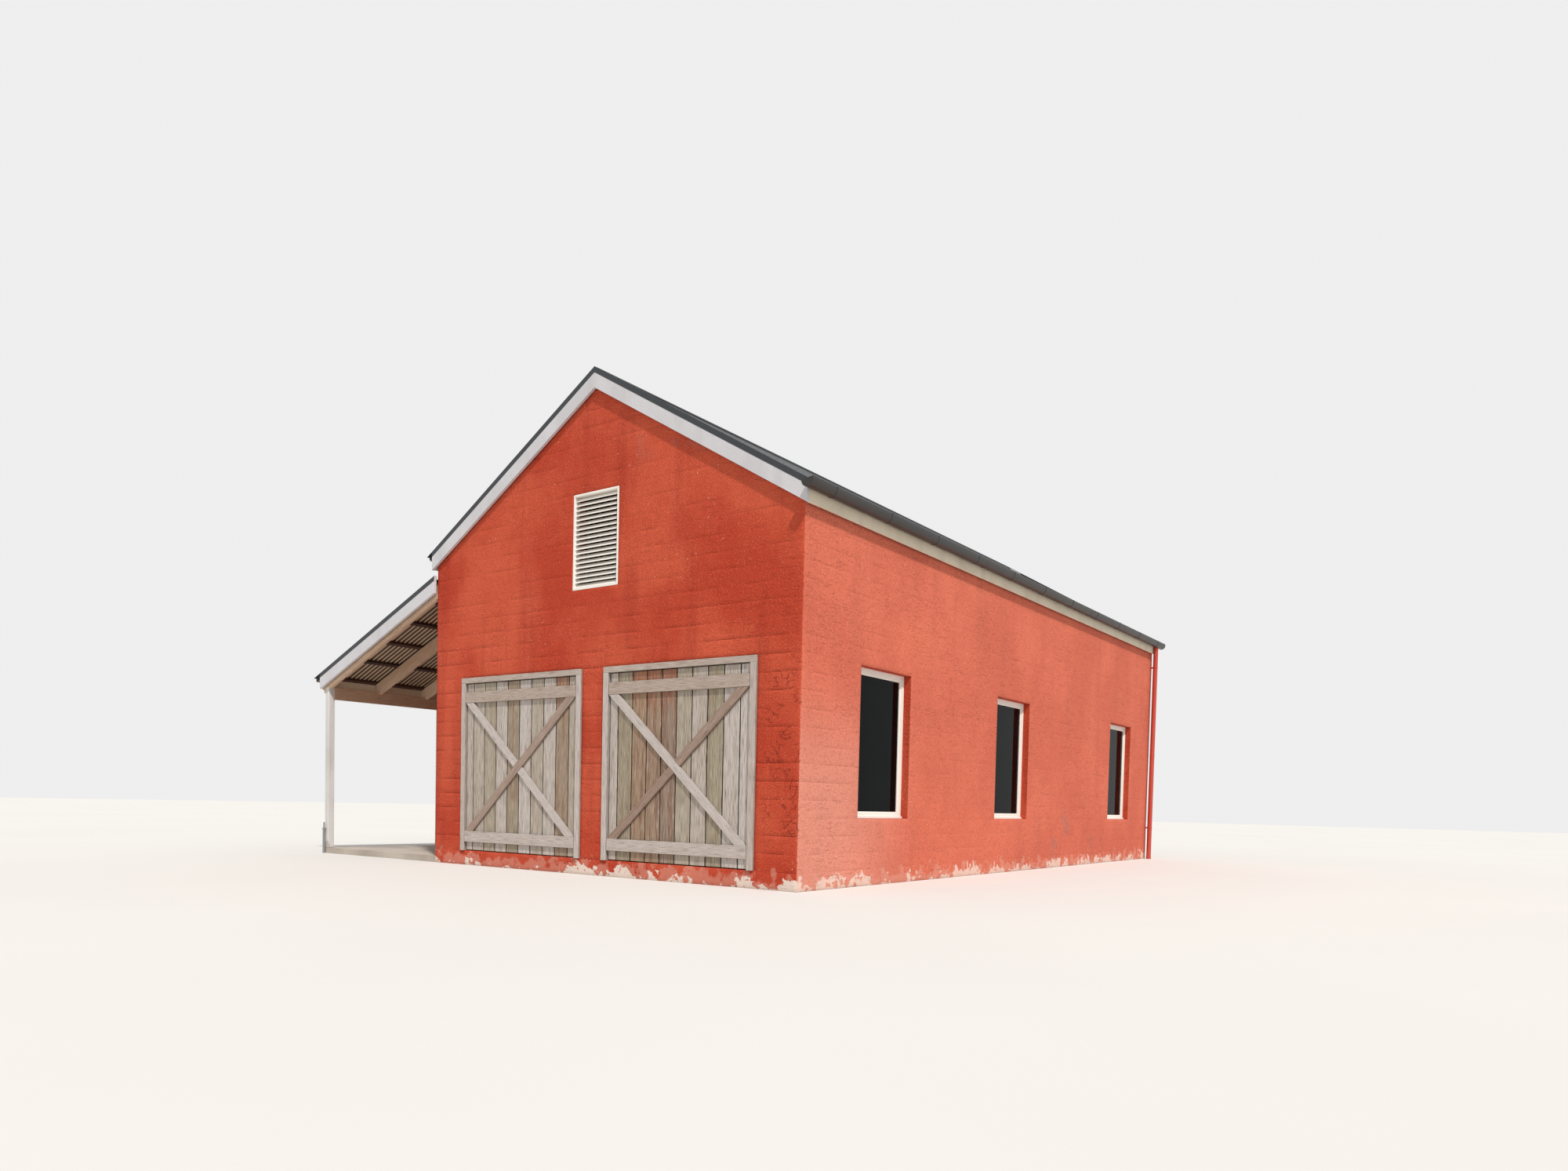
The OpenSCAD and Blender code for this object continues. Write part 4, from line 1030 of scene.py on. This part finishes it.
four_sides = np.repeat(outward, 4, axis=0)
planks("window_frame_extrusions", frames + sills,
       np.concatenate([four_sides * WIN_T, outward * SILL_OUT]),
       "white aluminium", ["window_frames"], seed=16)
planks("window_sash_extrusions", sashes, four_sides * SASH_T, "white aluminium",
       ["window_sashes"], arris=0.004, seed=17)

# %% [markdown]
# The blades of a gable vent slope down and outwards, so that rain runs off and
# air passes. Each is a plank too, tilted and spaced evenly between the rims.

# %% Build the louvres
VENT_RIM, VENT_OUT, VENT_T = 0.028, 0.008, 0.090
BLADES, BLADE_W, BLADE_T, BLADE_TILT = 19, 0.078, 0.009, 45
half_rise = (BLADE_W * sin_of(BLADE_TILT) + BLADE_T * cos_of(BLADE_TILT)) / 2 + 0.001
blade_z = np.linspace(VENT_Z0 + VENT_RIM + half_rise, VENT_Z1 - VENT_RIM - half_rise, BLADES)
vent_mid = -HALF_L - VENT_OUT + VENT_T / 2
blade_x = VENT_W / 2 - VENT_RIM
dy, dz = BLADE_W / 2 * cos_of(BLADE_TILT), BLADE_W / 2 * sin_of(BLADE_TILT)
back = np.array((0, sin_of(BLADE_TILT), -cos_of(BLADE_TILT))) * BLADE_T
blades = [[(x, vent_mid + t * dy, z + t * dz) for t in (-1, 1) for x in (-blade_x, blade_x)]
          for z in blade_z]
rims = np.array(mitred(-HALF_L - VENT_OUT, -VENT_W / 2, VENT_W / 2, VENT_Z0, VENT_Z1, VENT_RIM))


def both_ends(places):
    """The same places on the front gable and on the rear one."""
    return np.concatenate([np.asarray(places) * (1, end, 1) for end in (1, -1)])


planks("vent_blade_strips", both_ends(np.array(blades) - back / 2), both_ends([back] * BLADES),
       "white aluminium", ["vent_blades"], arris=0.0035, seed=18)
planks("vent_rims", both_ends(rims[..., [1, 0, 2]]), both_ends([(0, VENT_T, 0)] * 4),
       "white aluminium", ["vent_frames"], seed=19)

# %% [markdown]
# ## Gutter and downpipe
# The gutter is a half round trough with a rolled bead along its front edge. Its
# section is one closed line: down the back, round the bottom, up the front,
# round the bead, and back along the inside. Carried along the eave it makes the
# whole trough, and half discs close its ends.

# %% Build the gutter
GUTTER_R, GUTTER_T, GUTTER_FRONT, GUTTER_BACK = 0.074, 0.002, 0.030, 0.008
GUTTER_END, CAP_T, BEAD, RIM_DROP = HALF_L + 0.180, 0.0022, 0.0055, 0.003
SLEEVES, SLEEVE_W = (-2.1, 2.05), 0.04
GUTTER_X = EAVE_X + SEAT + GUTTER_T + GUTTER_R
GUTTER_Z = over_slope(EAVE_X + SEAT + GUTTER_T, SHEET_Z, ROOF) - RIM_DROP - GUTTER_BACK
arc = np.linspace(math.pi, 2 * math.pi, 33)
inside = np.stack([np.cos(arc), np.sin(arc)], -1) * GUTTER_R
outside = inside * (GUTTER_R + GUTTER_T) / GUTTER_R
back_edge = [(-GUTTER_R - GUTTER_T, GUTTER_BACK)]
bead_turn = np.linspace(0, 1.55 * math.pi, 10)
bead = np.stack([GUTTER_R + GUTTER_T - BEAD + BEAD * np.cos(bead_turn),
                 GUTTER_FRONT - BEAD + BEAD * np.sin(bead_turn)], -1)
section = np.concatenate([back_edge, outside, bead, inside[::-1], [(-GUTTER_R, GUTTER_BACK)]])
disc = np.concatenate([back_edge, outside, [(GUTTER_R + GUTTER_T, GUTTER_FRONT - BEAD)]])
# a thin ring round the trough, where two lengths are joined
sleeve = np.concatenate([outside * 1.02, outside[::-1] * 1.001])

points, quads, caps, base = [], [], [], 0
for outline, start, width in (
        [(section, 0.002 - GUTTER_END, 2 * (GUTTER_END - 0.002)),
         (disc, -GUTTER_END, CAP_T), (disc, GUTTER_END - CAP_T, CAP_T)]
        + [(sleeve, y, SLEEVE_W) for y in SLEEVES]):
    p = len(outline)
    for y in (start, start + width):
        points.append(stack(outline[:, 0] + GUTTER_X, y, outline[:, 1] + GUTTER_Z))
    quads.append(grid_faces(2, p, wrap=True) + base)
    caps += [np.arange(p)[None, ::-1] + base, np.arange(p)[None] + base + p]
    base += 2 * p
make_piece("gutter_trough", np.concatenate(points), quads + caps, "gutter coating", ["gutter"],
           smooth=True, sharp=30)

# %% [markdown]
# The downpipe is a round tube, with a wider socket where two lengths meet and
# another at its foot. A tube is rings of points, out along its outside and back
# along its bore, so its wall has a real thickness.

# %% Build the downpipe
PIPE_X, PIPE_Y, PIPE_R, PIPE_T = EAVE_X + 0.047, HALF_L - 0.100, 0.045, 0.002
PIPE_TOP = GUTTER_Z - GUTTER_R + 0.0218
SOCKET_R, SOCKET_T, SOCKETS = PIPE_R + 0.002, 0.0019, ((2.05, 2.12), (0.0, 0.05))
AROUND = 48
turn = np.arange(AROUND) * 2 * math.pi / AROUND


def tube(z0, z1, radius, wall):
    """A hollow tube as five rings, of which the last is the first again."""
    return np.stack([stack(PIPE_X + r * np.cos(turn), PIPE_Y + r * np.sin(turn), z) for r, z in (
        (radius, z0), (radius, z1), (radius - wall, z1), (radius - wall, z0), (radius, z0))])


tubes = np.stack([tube(0, PIPE_TOP, PIPE_R, PIPE_T)]
                 + [tube(z0, z1, SOCKET_R, SOCKET_T) for z0, z1 in SOCKETS])
faces = grid_faces(5, AROUND, wrap=True) + (np.arange(len(tubes)) * 5 * AROUND)[:, None, None]
make_piece("downpipe_tube", tubes.reshape(-1, 3), faces.reshape(-1, 4), "red metal",
           ["downpipe"], smooth=True, sharp=30)

# %% [markdown]
# ## Roofing screws
# Screws with broad washers fix the sheets to every batten, on every second
# crest. They are small, but their even rows catch the light on the roof.

# %% Set the screws in rows
SCREW_R, SCREW_H = 0.009, 0.004


def roof_screws(name, xs, z, slope, side):
    """Heads on every second crest, half way along its wave, at each of xs down the
    slope. They sit on two thicknesses of sheet and point straight out of it."""
    y = -SHEET_HALF + (np.arange(1, WAVES, 2) + 0.5) * 2 * SHEET_HALF / WAVES
    gx, gy = np.meshgrid(xs, y)
    places = slope_point(gx.ravel(), gy.ravel(), z + WAVE_DEPTH + 2 * SHEET_T, slope, side)
    outwards = slope_point(0, 0, 1, slope, side) - slope_point(0, 0, 0, slope, side)
    heads(name, places, outwards, SCREW_R, SCREW_H, "charcoal coating", sides=6)


roof_batten_x = np.linspace(
    FIRST_BATTEN, down_slope(EAVE_X - FASCIA_T, SHEET_Z, ROOF_PITCH) - SEAT - BATTEN_W / 2,
    BATTENS)
for side, label in ((1, "right"), (-1, "left")):
    roof_screws(label + "_roof_screws", roof_batten_x[1:], SHEET_Z, ROOF, side)
roof_screws("lean_to_screws", lean_batten_x, LEAN_SHEET_Z, LEAN, -1)

# %% [markdown]
# ## Floor and light
# A pale floor and a pale sky surround the barn. One soft sun from the right of
# the doors gives the walls their shading, and the sky fills the shadows. The
# sum of both is set so that a surface shows about the colour it was given.

# %% Floor, sky and sun
FLOOR_HALF, FLOOR_Z = 90, -0.002
tree, shader, place = new_material("pale floor")
put(shader["Base Color"], blend(clouds(place, 6.0, 3.0), "dedcd8", "e6e4e0"))
put(shader["Roughness"], 0.9)
floor_mesh = bpy.data.meshes.new("floor")
floor_mesh.from_pydata([(x * FLOOR_HALF, y * FLOOR_HALF, FLOOR_Z)
                        for x, y in ((-1, -1), (1, -1), (1, 1), (-1, 1))], [], [(0, 1, 2, 3)])
floor_mesh.materials.append(FINISHES["pale floor"])
floor = bpy.data.objects.new("floor", floor_mesh)
scene_objects.link(floor)

# the sky looks brighter to the camera and in reflections than it shines on the walls
world = bpy.data.worlds.new("studio sky")
world.use_nodes = True
bpy.context.scene.world = world
tree = world.node_tree
sky = tree.nodes["Background"]
rays = tree.nodes.new("ShaderNodeLightPath").outputs
seen = Out(rays["Is Camera Ray"])
for kind in ("Glossy", "Transmission"):
    seen = seen.math("MAXIMUM", Out(rays[f"Is {kind} Ray"]))
put(sky.inputs["Strength"], wire(tree, "MapRange", {0: seen, 1: 0.0, 2: 1.0, 3: 0.52, 4: 0.86}))
put(sky.inputs["Color"], (1, 1, 1, 1))

sun_data = bpy.data.lights.new("soft sun", "SUN")
sun_data.energy = 2.9
sun_data.angle = math.radians(3.5)
sun_data.color = (1.0, 0.975, 0.94)
sun = bpy.data.objects.new("soft sun", sun_data)
sun.rotation_mode = "QUATERNION"
sun.rotation_quaternion = Vector((0.55, -0.33, 0.77)).to_track_quat("Z", "Y")
scene_objects.link(sun)
bpy.context.scene.view_settings.view_transform = "Standard"
print("lights and floor are in place")
